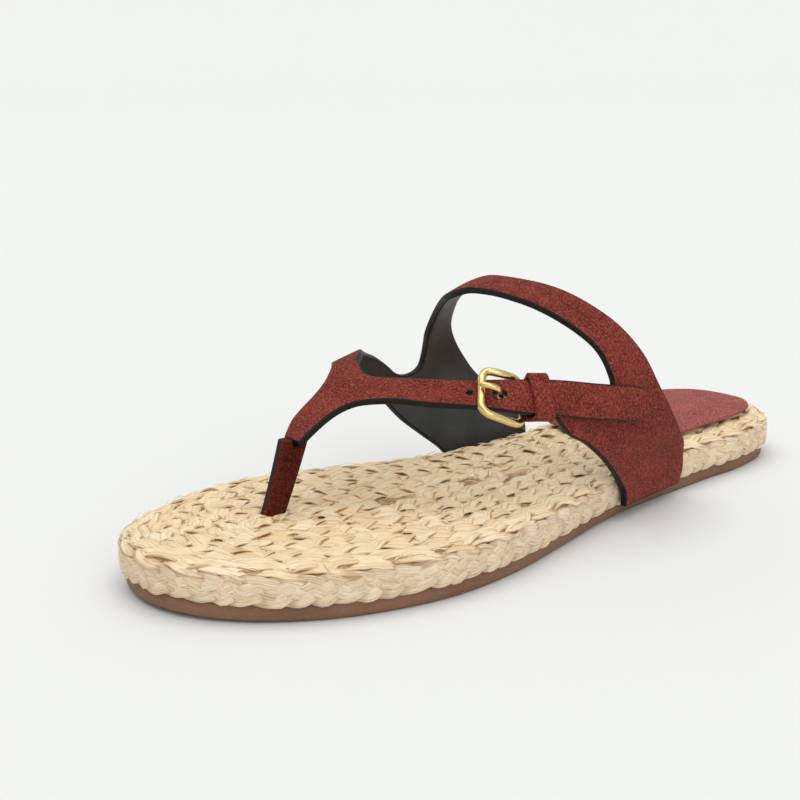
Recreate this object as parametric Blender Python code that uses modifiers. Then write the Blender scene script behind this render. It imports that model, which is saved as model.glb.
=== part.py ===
"""Woven flat thong sandal for the left foot, with a buckled strap, as an assembly of closed solids.

The toe points along -Y, the outer side of the foot is +X, and the sole stands on z = 0.
A point of the upper is given on the last by two shares: along, from the toe (0) to the heel (1),
and girth, from the inner edge of the sole (-1) over the instep (0) to the outer edge (1).
"""
import math

import bmesh
import bpy
import numpy as np
from mathutils.geometry import delaunay_2d_cdt

# Driving dimensions, in metres
LENGTH = 0.250
BALL_WIDTH = 0.0963
INSTEP_HEIGHT = 0.059
OUTSOLE_HEIGHT = 0.0048
SIDE_BRAID_HEIGHT = 0.0080
FOOTBED_HEIGHT = 0.0031
COIL_WIDTH = 0.0080
COIL_GROOVE = 0.0011
PLAIT_STEP = 0.0050
PLAIT_RELIEF = 0.00035
COIL_INSET = 0.0009
COIL_SLACK = 0.0004
COIL_SKIN = 0.0005
TOE_SPRING = 0.0015
SPRING_UNTIL = 0.17
ARCH_RISE = 0.0006
ARCH_FROM = 0.40
ARCH_UNTIL = 0.74
PAD_THICKNESS = 0.0015
PAD_CROWN = 0.0007
PAD_RIM = 0.0072
PAD_DOME = 0.012
PAD_FRONT_BOW = 0.003
WALL = 0.0022
STRAP_WIDTH = 0.0100
KEEPER_LENGTH = 0.0056
KEEPER_WALL = 0.0013
KEEPER_BEND = 0.0006
POST_WIDTH = 0.0090
POST_THICKNESS = 0.0042
POST_FOOT_WIDTH = 0.0070
POST_FOOT_THICKNESS = 0.0036
POST_ROUND = 0.0008
WIRE = 0.0024
PRONG = 0.0018
BUCKLE_CORNER = 0.0028
BUCKLE_EASE = 0.0010
BUCKLE_SET = -0.0005
BUCKLE_BOW = 0.0007
AWL_HOLE = 0.0018
PRONG_SLOT = 0.0036
TAB_MARGIN = 0.0006
TAB_OVERRUN = 0.0020
CLEARANCE = 0.0003
LAYER_GAP = 0.0004

# Mesh steps, in metres
OUTLINE_STEP = 0.0050
LEATHER_STEP = 0.0044
LEATHER_EDGE_STEP = 0.0036

PAD_STEP = 0.0042
PAD_FILL_STEP = 0.0065
STRAP_STEPS = 400

# Heights of the stack
MIDSOLE_TOP = OUTSOLE_HEIGHT + SIDE_BRAID_HEIGHT
FOOTBED_BASE = MIDSOLE_TOP + CLEARANCE
FOOTBED_TOP = FOOTBED_BASE + FOOTBED_HEIGHT
PAD_BASE = FOOTBED_TOP + PLAIT_RELIEF + CLEARANCE

# Sole outline: along in LENGTH, outer and inner edge in BALL_WIDTH
OUTLINE = np.array([
    (0.015, 0.107, -0.234),
    (0.050, 0.237, -0.340),
    (0.110, 0.362, -0.435),
    (0.190, 0.455, -0.493),
    (0.270, 0.498, -0.481),
    (0.360, 0.487, -0.404),
    (0.470, 0.425, -0.296),
    (0.580, 0.357, -0.247),
    (0.690, 0.317, -0.269),
    (0.800, 0.296, -0.304),
    (0.890, 0.287, -0.304),
    (0.960, 0.232, -0.229),
    (0.990, 0.150, -0.132),
], dtype=[("along", float), ("outer", float), ("inner", float)])
TOE_TIP = -0.042

# The rubber sheet's wall and the side braid, from below: inset and height share
OUTSOLE_WALL = ((0.0110, 0.0), (0.0040, 0.0), (0.0027, 0.125), (0.0022, 0.45), (0.0020, 1.0))
BRAID_WALL = ((0.0009, 0.0), (0.0002, 0.22), (0.0, 0.45), (0.0, 0.68), (0.0003, 0.88), (0.0009, 1.0))

# The outer coil's round shoulder: inset and height share
COIL_SHOULDER = ((0.0009, 0.0), (0.0018, 0.50), (0.0034, 0.86), (0.0056, 1.0))

# The heel pad's rolled edge, from below: inset and height share
PAD_WALL = ((0.0006, 0.0), (0.0, 0.35), (0.0005, 0.78), (0.0016, 1.0))

# Last: half widths and crown place in BALL_WIDTH, heights above the footbed in INSTEP_HEIGHT,
# and how square each side of the arch is (2 is an ellipse)
LAST = np.array([
    (0.18, 0.370, -0.380, -0.090, 0.255, 0.100, 2.00, 2.00),
    (0.22, 0.380, -0.400, -0.105, 0.372, 0.130, 1.90, 2.00),
    (0.26, 0.385, -0.415, -0.125, 0.482, 0.170, 1.70, 2.00),
    (0.30, 0.385, -0.420, -0.140, 0.583, 0.220, 1.50, 2.00),
    (0.34, 0.375, -0.420, -0.135, 0.645, 0.260, 1.50, 1.90),
    (0.38, 0.370, -0.415, -0.110, 0.705, 0.290, 1.65, 1.80),
    (0.42, 0.375, -0.410, -0.080, 0.785, 0.315, 1.85, 1.68),
    (0.46, 0.385, -0.402, -0.050, 0.900, 0.335, 1.95, 1.60),
    (0.50, 0.395, -0.395, -0.025, 0.978, 0.340, 2.03, 1.64),
    (0.54, 0.402, -0.395, -0.015, 1.000, 0.340, 2.08, 1.82),
    (0.60, 0.410, -0.395, -0.010, 1.040, 0.340, 2.10, 1.98),
    (0.68, 0.425, -0.395, -0.010, 1.090, 0.340, 2.10, 2.00),
    (0.76, 0.435, -0.395, -0.010, 1.130, 0.340, 2.10, 2.00),
], dtype=[("along", float), ("outer", float), ("inner", float), ("crown", float), ("height", float),
          ("belly", float), ("outer_square", float), ("inner_square", float)])
BELLY_GIRTH = 0.70
HALF_GIRTH = 0.100

# Cut edges of the upper on the last, in (along, girth) shares, one row for each bend
TAB_LOWER = ((0.592, 1.000), (0.592, 0.963), (0.577, 0.911), (0.554, 0.854), (0.527, 0.796),
             (0.504, 0.754), (0.488, 0.733), (0.4750, 0.700))
TAB_UPPER = ((0.508, 0.634), (0.532, 0.652), (0.551, 0.636), (0.5586, 0.595), (0.5569, 0.553),
             (0.5497, 0.473), (0.5339, 0.391), (0.5190, 0.321), (0.5050, 0.247), (0.4940, 0.175),
             (0.4860, 0.090), (0.4800, 0.000), (0.4775, -0.085), (0.4820, -0.160),
             (0.4920, -0.248), (0.5000, -0.330), (0.5065, -0.414), (0.5115, -0.500),
             (0.5165, -0.560), (0.5178, -0.610), (0.5150, -0.646), (0.5053, -0.664),
             (0.4955, -0.668), (0.4842, -0.662), (0.4737, -0.641), (0.4594, -0.594),
             (0.4474, -0.551), (0.4286, -0.474), (0.4045, -0.373), (0.3780, -0.230),
             (0.3544, -0.092), (0.3425, -0.038), (0.3291, 0.025), (0.3214, 0.065),
             (0.3211, 0.084), (0.3242, 0.104))
FRONT_OUTER = ((0.2969, 0.186), (0.2765, 0.125), (0.2611, 0.098), (0.2445, 0.082),
               (0.2285, 0.072), (0.2186, 0.067), (0.2120, 0.064))
FRONT_INNER = ((0.2120, -0.004), (0.2191, -0.018), (0.2335, -0.039), (0.2489, -0.036),
               (0.2627, -0.027), (0.2798, -0.022), (0.2903, -0.031), (0.3008, -0.056),
               (0.3112, -0.090), (0.3250, -0.160), (0.3440, -0.275), (0.3685, -0.405),
               (0.3926, -0.520), (0.4234, -0.640), (0.4574, -0.750), (0.4749, -0.811),
               (0.4958, -0.862), (0.5230, -0.925), (0.5340, -0.965), (0.5380, -1.000))
INNER_REAR = ((0.6620, -1.000), (0.6700, -0.950), (0.6720, -0.900), (0.6560, -0.820),
              (0.6215, -0.738), (0.5995, -0.663), (0.5765, -0.581), (0.5555, -0.486),
              (0.5400, -0.368), (0.5280, -0.270), (0.5225, -0.176), (0.5215, -0.080),
              (0.5235, 0.015), (0.5310, 0.080), (0.5390, 0.125), (0.5545, 0.210),
              (0.5724, 0.308), (0.5954, 0.415), (0.6176, 0.531), (0.6349, 0.637),
              (0.6568, 0.726), (0.6890, 0.809), (0.7180, 0.880), (0.7226, 0.940),
              (0.7143, 1.000))

# Middle line of the buckled strap on the last, in (along, girth) shares
STRAP_LINE = ((0.3290, 0.2100), (0.3505, 0.2910), (0.3718, 0.3720), (0.3883, 0.4290), (0.4030, 0.4710),
              (0.4210, 0.5130), (0.4533, 0.5690), (0.4996, 0.6180), (0.5543, 0.6530), (0.6090, 0.6850))
STRAP_POINT = 0.0085
LIFT_FROM = 0.10
LIFT_TO = 0.40
AWL_AT = 0.242
FRONT_BAR_AT = 0.282
SLOT_AT = 0.345
REAR_BAR_AT = 0.432
PAD_FROM = 0.684

# The thong between the toes: where its foot and head stand, outward in BALL_WIDTH and along in LENGTH
POST_FOOT = (-0.0945, 0.1860)
POST_HEAD = (-0.0780, 0.2192)
POST_BOW = 0.0003
POST_SINK = 0.003

COLOURS = {
    "suede": ((0.205, 0.035, 0.030, 1.0), 0.95, 0.0),
    "suede_dark": ((0.085, 0.014, 0.013, 1.0), 0.95, 0.0),
    "raffia": ((0.760, 0.560, 0.340, 1.0), 0.70, 0.0),
    "raffia_side": ((0.780, 0.590, 0.380, 1.0), 0.72, 0.0),
    "rubber": ((0.155, 0.080, 0.050, 1.0), 0.65, 0.0),
    "brass": ((0.780, 0.560, 0.200, 1.0), 0.25, 1.0),
}


def smooth(knots, values, at):
    """Values read from a smooth curve through the rows of a table."""
    knots = np.asarray(knots, float)
    values = np.asarray(values, float)
    slopes = np.gradient(values, knots, axis=0)
    at = np.asarray(at, float)
    i = np.clip(np.searchsorted(knots, at) - 1, 0, len(knots) - 2)
    gap = knots[i + 1] - knots[i]
    t = (at - knots[i]) / gap
    if values.ndim > 1:
        t = t[..., None]
        gap = gap[..., None]
    ease = t * t * (3 - 2 * t)
    start = values[i] * (1 - ease) + values[i + 1] * ease
    return start + gap * (slopes[i] * t * (1 - t) ** 2 - slopes[i + 1] * t * t * (1 - t))


def follow(points, step, closed=False):
    """Evenly spaced points on a smooth path through the given ones, with both ends when it is open."""
    points = np.asarray(points, float)
    if closed:
        points = np.vstack([points[-3:], points, points[:4]])
    run = np.r_[0, np.cumsum(np.linalg.norm(np.diff(points, axis=0), axis=1))]
    first, last_ = (run[3], run[-4]) if closed else (run[0], run[-1])
    dense = smooth(run, points, np.linspace(first, last_, 40 * len(points)))
    length = np.r_[0, np.cumsum(np.linalg.norm(np.diff(dense, axis=0), axis=1))]
    count = max(2, round(length[-1] / step))
    at = np.linspace(0, length[-1], count + 1)
    path = np.column_stack([np.interp(at, length, dense[:, k]) for k in range(points.shape[1])])
    return path[:-1] if closed else path


def sole_outline(inset=0.0, step=OUTLINE_STEP):
    """The sole's plan, counter-clockwise from the toe tip, moved inwards by an inset."""
    y = (OUTLINE["along"] - 0.5) * LENGTH
    outer = np.column_stack([OUTLINE["outer"] * BALL_WIDTH, y])
    inner = np.column_stack([OUTLINE["inner"] * BALL_WIDTH, y])[::-1]
    tip = (TOE_TIP * BALL_WIDTH, -LENGTH / 2)
    path = follow(np.vstack([[tip], outer, [(0.0, LENGTH / 2)], inner]), step, closed=True)
    return inset_loop(path, inset)


def inset_loop(path, inset):
    """A closed path moved to its left by the inset."""
    ahead = np.roll(path, -1, axis=0) - np.roll(path, 1, axis=0)
    ahead /= np.linalg.norm(ahead, axis=1)[:, None]
    return path + inset * np.column_stack([-ahead[:, 1], ahead[:, 0]])


def distance_to(path, points):
    """Distance of each point to a closed path."""
    start = path
    side = np.roll(path, -1, axis=0) - start
    offset = points[:, None, :] - start[None]
    share = np.clip((offset * side).sum(2) / (side ** 2).sum(1), 0, 1)
    return np.linalg.norm(offset - share[..., None] * side, axis=2).min(1)


def inside(path, points):
    """Which points lie inside a closed path."""
    x, y = points[:, :1], points[:, 1:2]
    x1, y1 = path[:, 0], path[:, 1]
    x2, y2 = np.roll(x1, -1), np.roll(y1, -1)
    crosses = (y1 > y) != (y2 > y)
    with np.errstate(divide="ignore", invalid="ignore"):
        at = x1 + (y - y1) * (x2 - x1) / (y2 - y1)
    return (crosses & (x < at)).sum(1) % 2 == 1


def spring(along):
    """How far the toe end of the sole is lifted."""
    return TOE_SPRING * np.clip((SPRING_UNTIL - along) / SPRING_UNTIL, 0, 1) ** 2


def arch(along):
    """How far the underside is raised between heel and forefoot."""
    share = np.clip((along - ARCH_FROM) / (ARCH_UNTIL - ARCH_FROM), 0, 1)
    return ARCH_RISE * np.sin(np.pi * share) ** 2


def last_section(along):
    """The last's table read at the given shares of the length."""
    names = LAST.dtype.names[1:]
    rows = np.column_stack([LAST[n] for n in names])
    read = smooth(LAST["along"], rows, along)
    return {name: read[..., k] for k, name in enumerate(names)}


def last(along, girth):
    """Points of the upper's outer face, in metres."""
    along, girth = np.broadcast_arrays(np.asarray(along, float), np.asarray(girth, float))
    row = last_section(along)
    outer_side = girth >= 0
    edge = np.where(outer_side, smooth(OUTLINE["along"], OUTLINE["outer"], along),
                    smooth(OUTLINE["along"], OUTLINE["inner"], along)) * BALL_WIDTH
    edge = edge + np.where(outer_side, 1, -1) * (WALL + CLEARANCE)
    belly = np.where(outer_side, row["outer"], row["inner"]) * BALL_WIDTH
    crown = row["crown"] * BALL_WIDTH
    top = FOOTBED_TOP + row["height"] * INSTEP_HEIGHT
    belly_z = FOOTBED_TOP + row["belly"] * INSTEP_HEIGHT
    rise = 1 - np.abs(girth)
    # below the belly: straight up the side braid, then out to the belly
    low = np.clip(rise / (1 - BELLY_GIRTH), 0, 1)
    z_low = OUTSOLE_HEIGHT + CLEARANCE + (belly_z - OUTSOLE_HEIGHT - CLEARANCE) * low
    out = np.clip((z_low - MIDSOLE_TOP) / (belly_z - MIDSOLE_TOP), 0, 1)
    x_low = edge + (belly - edge) * out * out * (3 - 2 * out)
    # above the belly: an arch
    turn = np.clip((rise - (1 - BELLY_GIRTH)) / BELLY_GIRTH, 0, 1) * math.pi / 2
    square = np.where(outer_side, row["outer_square"], row["inner_square"])
    reach = (np.abs(np.cos(turn)) ** square + np.abs(np.sin(turn)) ** square) ** (-1 / square)
    x_high = crown + (belly - crown) * np.cos(turn) * reach
    z_high = belly_z + (top - belly_z) * np.sin(turn) * reach
    high = rise > 1 - BELLY_GIRTH
    return np.stack([np.where(high, x_high, x_low), (along - 0.5) * LENGTH,
                     np.where(high, z_high, z_low)], axis=-1)


def last_slopes(along, girth):
    """How the last's points move with along and with girth."""
    d = 0.004
    by_along = (last(along + d, girth) - last(along - d, girth)) / (2 * d)
    low, high = np.maximum(girth - d, -1), np.minimum(girth + d, 1)
    by_girth = (last(along, high) - last(along, low)) / (high - low)[..., None]
    return by_along, by_girth


def last_normal(along, girth):
    """The direction that points out of the last."""
    by_along, by_girth = last_slopes(along, girth)
    normal = np.cross(by_girth, by_along)
    return normal / np.linalg.norm(normal, axis=-1)[..., None]


def on_last(along, girth, height=0.0):
    """Points at a height over the upper's outer face."""
    along, girth = np.broadcast_arrays(np.asarray(along, float), np.asarray(girth, float))
    return last(along, girth) + last_normal(along, girth) * np.asarray(height, float)[..., None]


def strap_run():
    """The strap's middle line in close steps on the last, and the length run at each of them."""
    line = smooth(np.linspace(0, 1, len(STRAP_LINE)), STRAP_LINE, np.linspace(0, 1, STRAP_STEPS))
    points = last(line[:, 0], line[:, 1])
    return line, np.r_[0, np.cumsum(np.linalg.norm(np.diff(points, axis=0), axis=1))]


def strap_length():
    """Length of the strap's middle line over the last."""
    return strap_run()[1][-1]


def strap_middle(share):
    """(along, girth) on the strap's middle line at a share of its length."""
    line, run = strap_run()
    at = np.asarray(share, float) * run[-1]
    return np.stack([np.interp(at, run, line[:, 0]), np.interp(at, run, line[:, 1])], axis=-1)


def strap_place(share, across):
    """(along, girth) of a point of the buckled strap: share of its length, metres across it."""
    share, across = np.broadcast_arrays(np.asarray(share, float), np.asarray(across, float))
    middle = strap_middle(share)
    step = 0.02
    ahead = strap_middle(np.clip(share + step, 0, 1)) - strap_middle(np.clip(share - step, 0, 1))
    by_along, by_girth = last_slopes(middle[..., 0], middle[..., 1])
    forward = by_along * ahead[..., :1] + by_girth * ahead[..., 1:]
    forward /= np.linalg.norm(forward, axis=-1)[..., None]
    side = np.cross(last_normal(middle[..., 0], middle[..., 1]), forward)
    # the step on the last that goes that way: least squares on its two slopes
    aa, gg = (by_along ** 2).sum(-1), (by_girth ** 2).sum(-1)
    ag = (by_along * by_girth).sum(-1)
    sa, sg = (side * by_along).sum(-1), (side * by_girth).sum(-1)
    det = aa * gg - ag * ag
    move = np.stack([(sa * gg - sg * ag) / det, (sg * aa - sa * ag) / det], axis=-1)
    return middle + move * across[..., None]


def strap_lift(share):
    """How far the buckled strap is lifted off the last, to lie over the tab and the quarter."""
    t = np.clip((np.asarray(share, float) - LIFT_FROM) / (LIFT_TO - LIFT_FROM), 0, 1)
    return (WALL + LAYER_GAP) * t * t * (3 - 2 * t)


def strap_solid_point(share, across, height):
    """A point by share along the strap, metres across it, and height over the upper's outer face."""
    place = strap_place(share, across)
    return on_last(place[..., 0], place[..., 1], height)


def flat(rows):
    """(along, girth) shares laid out flat in metres."""
    return np.asarray(rows, float) * (LENGTH, HALF_GIRTH)


def fill_pattern(loop, step, holes=()):
    """Triangles over a flat pattern: its cut edge, its holes and an even lattice inside."""
    low, high = loop.min(0), loop.max(0)
    rows = int((high[1] - low[1]) / (step * 0.866)) + 1
    cols = int((high[0] - low[0]) / step) + 2
    j, i = np.meshgrid(np.arange(rows), np.arange(cols), indexing="ij")
    lattice = np.column_stack([(low[0] + (i + 0.5 * (j % 2)) * step).ravel(),
                               (low[1] + j * step * 0.866).ravel()])
    keep = inside(loop, lattice) & (distance_to(loop, lattice) > 0.62 * step)
    for hole in holes:
        keep &= ~inside(hole, lattice) & (distance_to(hole, lattice) > 0.45 * step)
    loops = [loop, *holes]
    points = np.vstack([*loops, lattice[keep]])
    edges, start = [], 0
    for ring in loops:
        count = len(ring)
        edges += [(start + k, start + (k + 1) % count) for k in range(count)]
        start += count
    verts, _, faces, *_ = delaunay_2d_cdt([tuple(p) for p in points], edges, [], 1, 1e-8)
    verts = np.array([tuple(v) for v in verts])
    faces = [f for f in faces if len(f) == 3]
    middles = np.array([verts[list(f)].mean(0) for f in faces])
    good = inside(loop, middles)
    for hole in holes:
        good &= ~inside(hole, middles)
    return verts, [f for f, ok in zip(faces, good) if ok]


def new_object(name, colour, mesh):
    """Links a mesh as a named object of the sandal, with its material."""
    obj = bpy.data.objects.new(name, mesh)
    bpy.data.collections["woven_sandal"].objects.link(obj)
    material = bpy.data.materials.get(colour) or make_material(colour)
    mesh.materials.clear()
    mesh.materials.append(material)
    return obj


def make_material(colour):
    """A plain material of the named colour."""
    base, roughness, metallic = COLOURS[colour]
    material = bpy.data.materials.new(colour)
    material.use_nodes = True
    shader = material.node_tree.nodes["Principled BSDF"]
    shader.inputs["Base Color"].default_value = base
    shader.inputs["Roughness"].default_value = roughness
    shader.inputs["Metallic"].default_value = metallic
    return material


def mesh_from(name, verts, faces):
    """A mesh with its faces turned outwards."""
    mesh = bpy.data.meshes.new(name)
    mesh.from_pydata([tuple(map(float, v)) for v in verts], [], [tuple(map(int, f)) for f in faces])
    work = bmesh.new()
    work.from_mesh(mesh)
    bmesh.ops.remove_doubles(work, verts=work.verts, dist=1e-6)
    bmesh.ops.triangulate(work, faces=work.faces)
    bmesh.ops.recalc_face_normals(work, faces=work.faces)
    work.to_mesh(mesh)
    work.free()
    mesh.shade_smooth()
    mesh.set_sharp_from_angle(angle=math.radians(40))
    return mesh


def stack(name, rings):
    """A closed body through rings of equally many points, each end closed by rungs across it."""
    count = len(rings[0])
    verts = np.vstack(rings)
    faces = [rung[::-1] for rung in rungs(count, 0)]
    for level in range(len(rings) - 1):
        faces += wall_between(count, level * count, (level + 1) * count)
    faces += rungs(count, (len(rings) - 1) * count)
    return mesh_from(name, verts, faces)


def wall_between(count, low, high):
    """Faces between two rings whose points start at the given places."""
    return [(low + k, low + (k + 1) % count, high + (k + 1) % count, high + k) for k in range(count)]


def rungs(count, start):
    """Faces that close a ring by joining each point to the one across from it."""
    faces = []
    low, high = 0, count
    while high - low > 1:
        rung = (low, low + 1, high - 1, high % count)
        faces.append(tuple(start + k for k in dict.fromkeys(rung)))
        low, high = low + 1, high - 1
    return faces


def ring_at(inset, height, lift=spring):
    """The sole's outline at an inset and a height, lifted where the sole is."""
    path = sole_outline(inset)
    along = path[:, 1] / LENGTH + 0.5
    return np.column_stack([path, height + lift(along)])


def add_outsole():
    """Rubber sheet with a wall that leans out to the braid, a rounded foot, toe spring and arch."""
    def under(along):
        return spring(along) + arch(along)
    rings = [ring_at(inset, share * OUTSOLE_HEIGHT, under if share < 0.3 else spring)
             for inset, share in OUTSOLE_WALL]
    new_object("outsole", "rubber", stack("outsole", rings))


def add_midsole():
    """Core wrapped by one plait: rows of raised strips that slant both ways."""
    rings = []
    for level, (inset, share) in enumerate(BRAID_WALL):
        height = OUTSOLE_HEIGHT + CLEARANCE + share * (SIDE_BRAID_HEIGHT - CLEARANCE)
        ring = ring_at(inset, height)
        if 0 < share < 1:
            raised = (np.arange(len(ring)) + level) % 2 * PLAIT_RELIEF
            ring[:, :2] = inset_loop(ring[:, :2], raised[:, None])
        rings.append(ring)
    new_object("midsole_braid", "raffia_side", stack("midsole_braid", rings))


def coil_height(inset):
    """Height of the coiled braid over its base, by the distance from the sole's edge."""
    shoulder = np.array(COIL_SHOULDER)
    groove = 1 - COIL_GROOVE / FOOTBED_HEIGHT
    phase = (inset - COIL_INSET) / COIL_WIDTH % 1.0
    flattened = np.clip(1.35 * np.sin(np.pi * phase), 0, 1)
    ridge = groove + (1 - groove) * flattened
    on_shoulder = inset < shoulder[-1, 0]
    return FOOTBED_HEIGHT * np.where(on_shoulder, np.interp(inset, *shoulder.T), ridge)


def add_footbed():
    """Plaits sewn round and round as flat coils, following the sole's outline."""
    border = sole_outline(COIL_INSET)
    outline = sole_outline(0.0, 0.4 * OUTLINE_STEP)
    insets = [inset for inset, _ in COIL_SHOULDER[1:]]
    start = COIL_INSET + COIL_WIDTH
    while start < BALL_WIDTH / 2:
        insets += [start, start + COIL_WIDTH / 3, start + 2 * COIL_WIDTH / 3]
        start += COIL_WIDTH
    points, heights = [border], [np.full(len(border), 0.0)]
    for level, inset in enumerate(insets):
        ring = sole_outline(inset)
        ring = ring[distance_to(outline, ring) > inset - COIL_SLACK]
        if len(ring) < 3:
            break
        ring = thin_out(ring, 0.6 * PLAIT_STEP)
        raised = PLAIT_RELIEF * (1 - 2 * ((np.arange(len(ring)) + level) % 2))
        grooved = level > 2 and level % 3 == 0
        if grooved:
            raised = 0.0
        points.append(ring)
        heights.append(coil_height(np.full(len(ring), inset)) + raised)
    flat_points = np.vstack(points)
    height = np.concatenate(heights)
    count = len(border)
    edges = [(k, (k + 1) % count) for k in range(count)]
    verts, _, faces, origins, *_ = delaunay_2d_cdt([tuple(p) for p in flat_points], edges, [], 1, 1e-8)
    plan = np.array([tuple(v) for v in verts])
    top = np.array([height[o[0]] for o in origins])
    lift = spring(plan[:, 1] / LENGTH + 0.5)
    solid = np.column_stack([plan, FOOTBED_BASE + np.maximum(top, COIL_SKIN) + lift])
    order = [next(k for k, o in enumerate(origins) if c in o) for c in range(count)]
    below = np.column_stack([plan[order], FOOTBED_BASE + lift[order]])
    start = len(solid)
    faces = [tuple(f) for f in faces]
    faces += [(order[k], order[(k + 1) % count], start + (k + 1) % count, start + k) for k in range(count)]
    faces += rungs(count, start)
    bed = new_object("footbed_coils", "raffia", mesh_from("footbed_coils", np.vstack([solid, below]), faces))
    cut(bed, post_body("post_slot", CLEARANCE))


def thin_out(ring, spacing):
    """Drops points of a ring that stand closer than the spacing to the one kept before."""
    kept = [0]
    for k in range(1, len(ring)):
        if np.linalg.norm(ring[k] - ring[kept[-1]]) >= spacing:
            kept.append(k)
    return ring[kept]


def under_front_strap(points):
    """Heights of the front strap's underside, less the clearance, over points in plan."""
    girths = np.linspace(-0.3, 0.3, 61)
    heights = []
    for x, y in points:
        along = np.full(len(girths), y / LENGTH + 0.5)
        face = last(along, girths)
        steep = last_normal(along, girths)[:, 2]
        heights.append(np.interp(x, face[:, 0], face[:, 2] - (WALL + CLEARANCE) / steep))
    return np.array(heights)


def post_section(half_x, half_y, radius, step):
    """An oblong with round corners, in plan, from the middle of its rear end, with a double point
    on each long side where the front strap ends."""
    edge = 0.00005
    side = [(half_x, step - edge), (half_x, step + edge)]
    corners = (((-1, 1), 90), ((-1, -1), 180), ((1, -1), 270), ((1, 1), 0))
    turned = []
    for (sx, sy), first in corners:
        for turn in np.radians((first, first + 45, first + 90)):
            turned.append((sx * (half_x - radius) + radius * math.cos(turn),
                           sy * (half_y - radius) + radius * math.sin(turn)))
    left = [(-x, y) for x, y in side[::-1]]
    return np.array([(0.0, half_y), *turned[:3], *left, *turned[3:6], (0.0, -half_y), *turned[6:9],
                     *side, *turned[9:]])


def post_body(name, grow=0.0):
    """The thong between the toes: a folded strip from the midsole up round the front strap's end."""
    foot = np.array([POST_FOOT[0] * BALL_WIDTH, (POST_FOOT[1] - 0.5) * LENGTH])
    head = np.array([POST_HEAD[0] * BALL_WIDTH, (POST_HEAD[1] - 0.5) * LENGTH])
    strap_end = (FRONT_INNER[0][0] - 0.5) * LENGTH - CLEARANCE
    step = strap_end - head[1]
    ends = [post_section(thick / 2 + grow, wide / 2 + grow, POST_ROUND + grow, step) for thick, wide in
            ((POST_FOOT_THICKNESS, POST_FOOT_WIDTH), (POST_THICKNESS, POST_WIDTH))]
    top = under_front_strap(head + ends[1])
    brim = last(FRONT_INNER[0][0], 0.0)[2]
    top = np.where(ends[1][:, 1] < step, brim, top)
    shares = np.linspace(0, 1, 7)
    if grow:
        shares = np.linspace(-1, 3, 9) * POST_SINK / (top.mean() - FOOTBED_BASE)
    rings = []
    for share in shares:
        centre = foot + (head - foot) * share
        centre[1] += POST_BOW * math.sin(math.pi * max(share, 0.0))
        section = ends[0] + (ends[1] - ends[0]) * share
        height = FOOTBED_BASE + (top - FOOTBED_BASE) * share
        rings.append(np.column_stack([centre + section, height]))
    mesh = stack(name, rings)
    if grow:
        cutter = bpy.data.objects.new(name, mesh)
        bpy.data.collections["cutters"].objects.link(cutter)
        cutter.hide_render = True
        cutter.display_type = "WIRE"
        return cutter
    return new_object(name, "suede_dark", mesh)


def cut(obj, cutter):
    """Cuts one closed object by another. The exact solver leaves loose faces on the uneven plaits."""
    modifier = obj.modifiers.new("cut_" + cutter.name, "BOOLEAN")
    modifier.operation = "DIFFERENCE"
    modifier.solver = "MANIFOLD"
    modifier.object = cutter


def add_heel_pad():
    """Padded heel lining: domed, with a rolled edge, set in from the sole's edge."""
    path = sole_outline(PAD_RIM)
    front = (PAD_FROM - 0.5) * LENGTH
    loop = path[path[:, 1] > front]
    split = int(np.argmax(np.linalg.norm(np.roll(loop, -1, axis=0) - loop, axis=1))) + 1
    loop = np.roll(loop, -split, axis=0)
    width = loop[0][0] - loop[-1][0]
    bow = [(loop[-1][0] + share * width, front - PAD_FRONT_BOW * math.sin(math.pi * share))
           for share in np.linspace(0, 1, 12)[1:-1]]
    loop = follow(np.vstack([loop, bow]), PAD_STEP, closed=True)
    body = []
    for inset, share in PAD_WALL:
        height = np.full(len(loop), PAD_BASE + share * PAD_THICKNESS)
        body.append(np.column_stack([inset_loop(loop, inset), height]))
    count = len(loop)
    rim = body[-1][:, :2]
    inner, faces = fill_pattern(rim, PAD_FILL_STEP)
    depth = distance_to(rim, inner)
    rise = PAD_CROWN * np.clip(depth / PAD_DOME, 0, 1) ** 0.6
    top = np.column_stack([inner, PAD_BASE + PAD_THICKNESS + rise])
    verts = np.vstack([*body, top])
    start = len(body) * count
    faces = [tuple(np.array(f) + start) for f in faces]
    for level in range(len(body) - 1):
        faces += wall_between(count, level * count, (level + 1) * count)
    faces.append(tuple(range(count))[::-1])
    new_object("heel_pad", "suede", mesh_from("heel_pad", verts, faces))


def upper_edges():
    """The cut edge of the main pattern, flat, with the two ends of the strap's root first."""
    root = [strap_place(0.0, side * STRAP_WIDTH / 2) for side in (1, -1)]
    tab = np.linspace(*tab_shares(), 4)
    tab_upper = strap_place(tab, STRAP_WIDTH / 2 - TAB_MARGIN)
    tab_lower = strap_place(tab[::-1], TAB_MARGIN - STRAP_WIDTH / 2)
    edges = [
        [root[1], *FRONT_OUTER],
        [FRONT_OUTER[-1], FRONT_INNER[0]],
        FRONT_INNER,
        [FRONT_INNER[-1], INNER_REAR[0]],
        INNER_REAR,
        [INNER_REAR[-1], TAB_LOWER[0]],
        [*TAB_LOWER, *tab_lower],
        [tab_lower[-1], tab_upper[0]],
        [*tab_upper, *TAB_UPPER, root[0]],
    ]
    loop = [follow(flat(e), LEATHER_EDGE_STEP)[:-1] for e in edges]
    loop.append(strap_root())
    return np.vstack(loop)


def tab_shares():
    """Where the tab under the strap starts, behind the rear bar, and where it leaves the keeper."""
    length = strap_length()
    start = REAR_BAR_AT + (WIRE / 2 + CLEARANCE) / length
    return start, keeper_shares()[1] + TAB_OVERRUN / length


def keeper_shares():
    """Where the keeper starts and ends along the strap."""
    length = strap_length()
    start = REAR_BAR_AT + (WIRE / 2 + LAYER_GAP) / length
    return start, start + KEEPER_LENGTH / length


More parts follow.
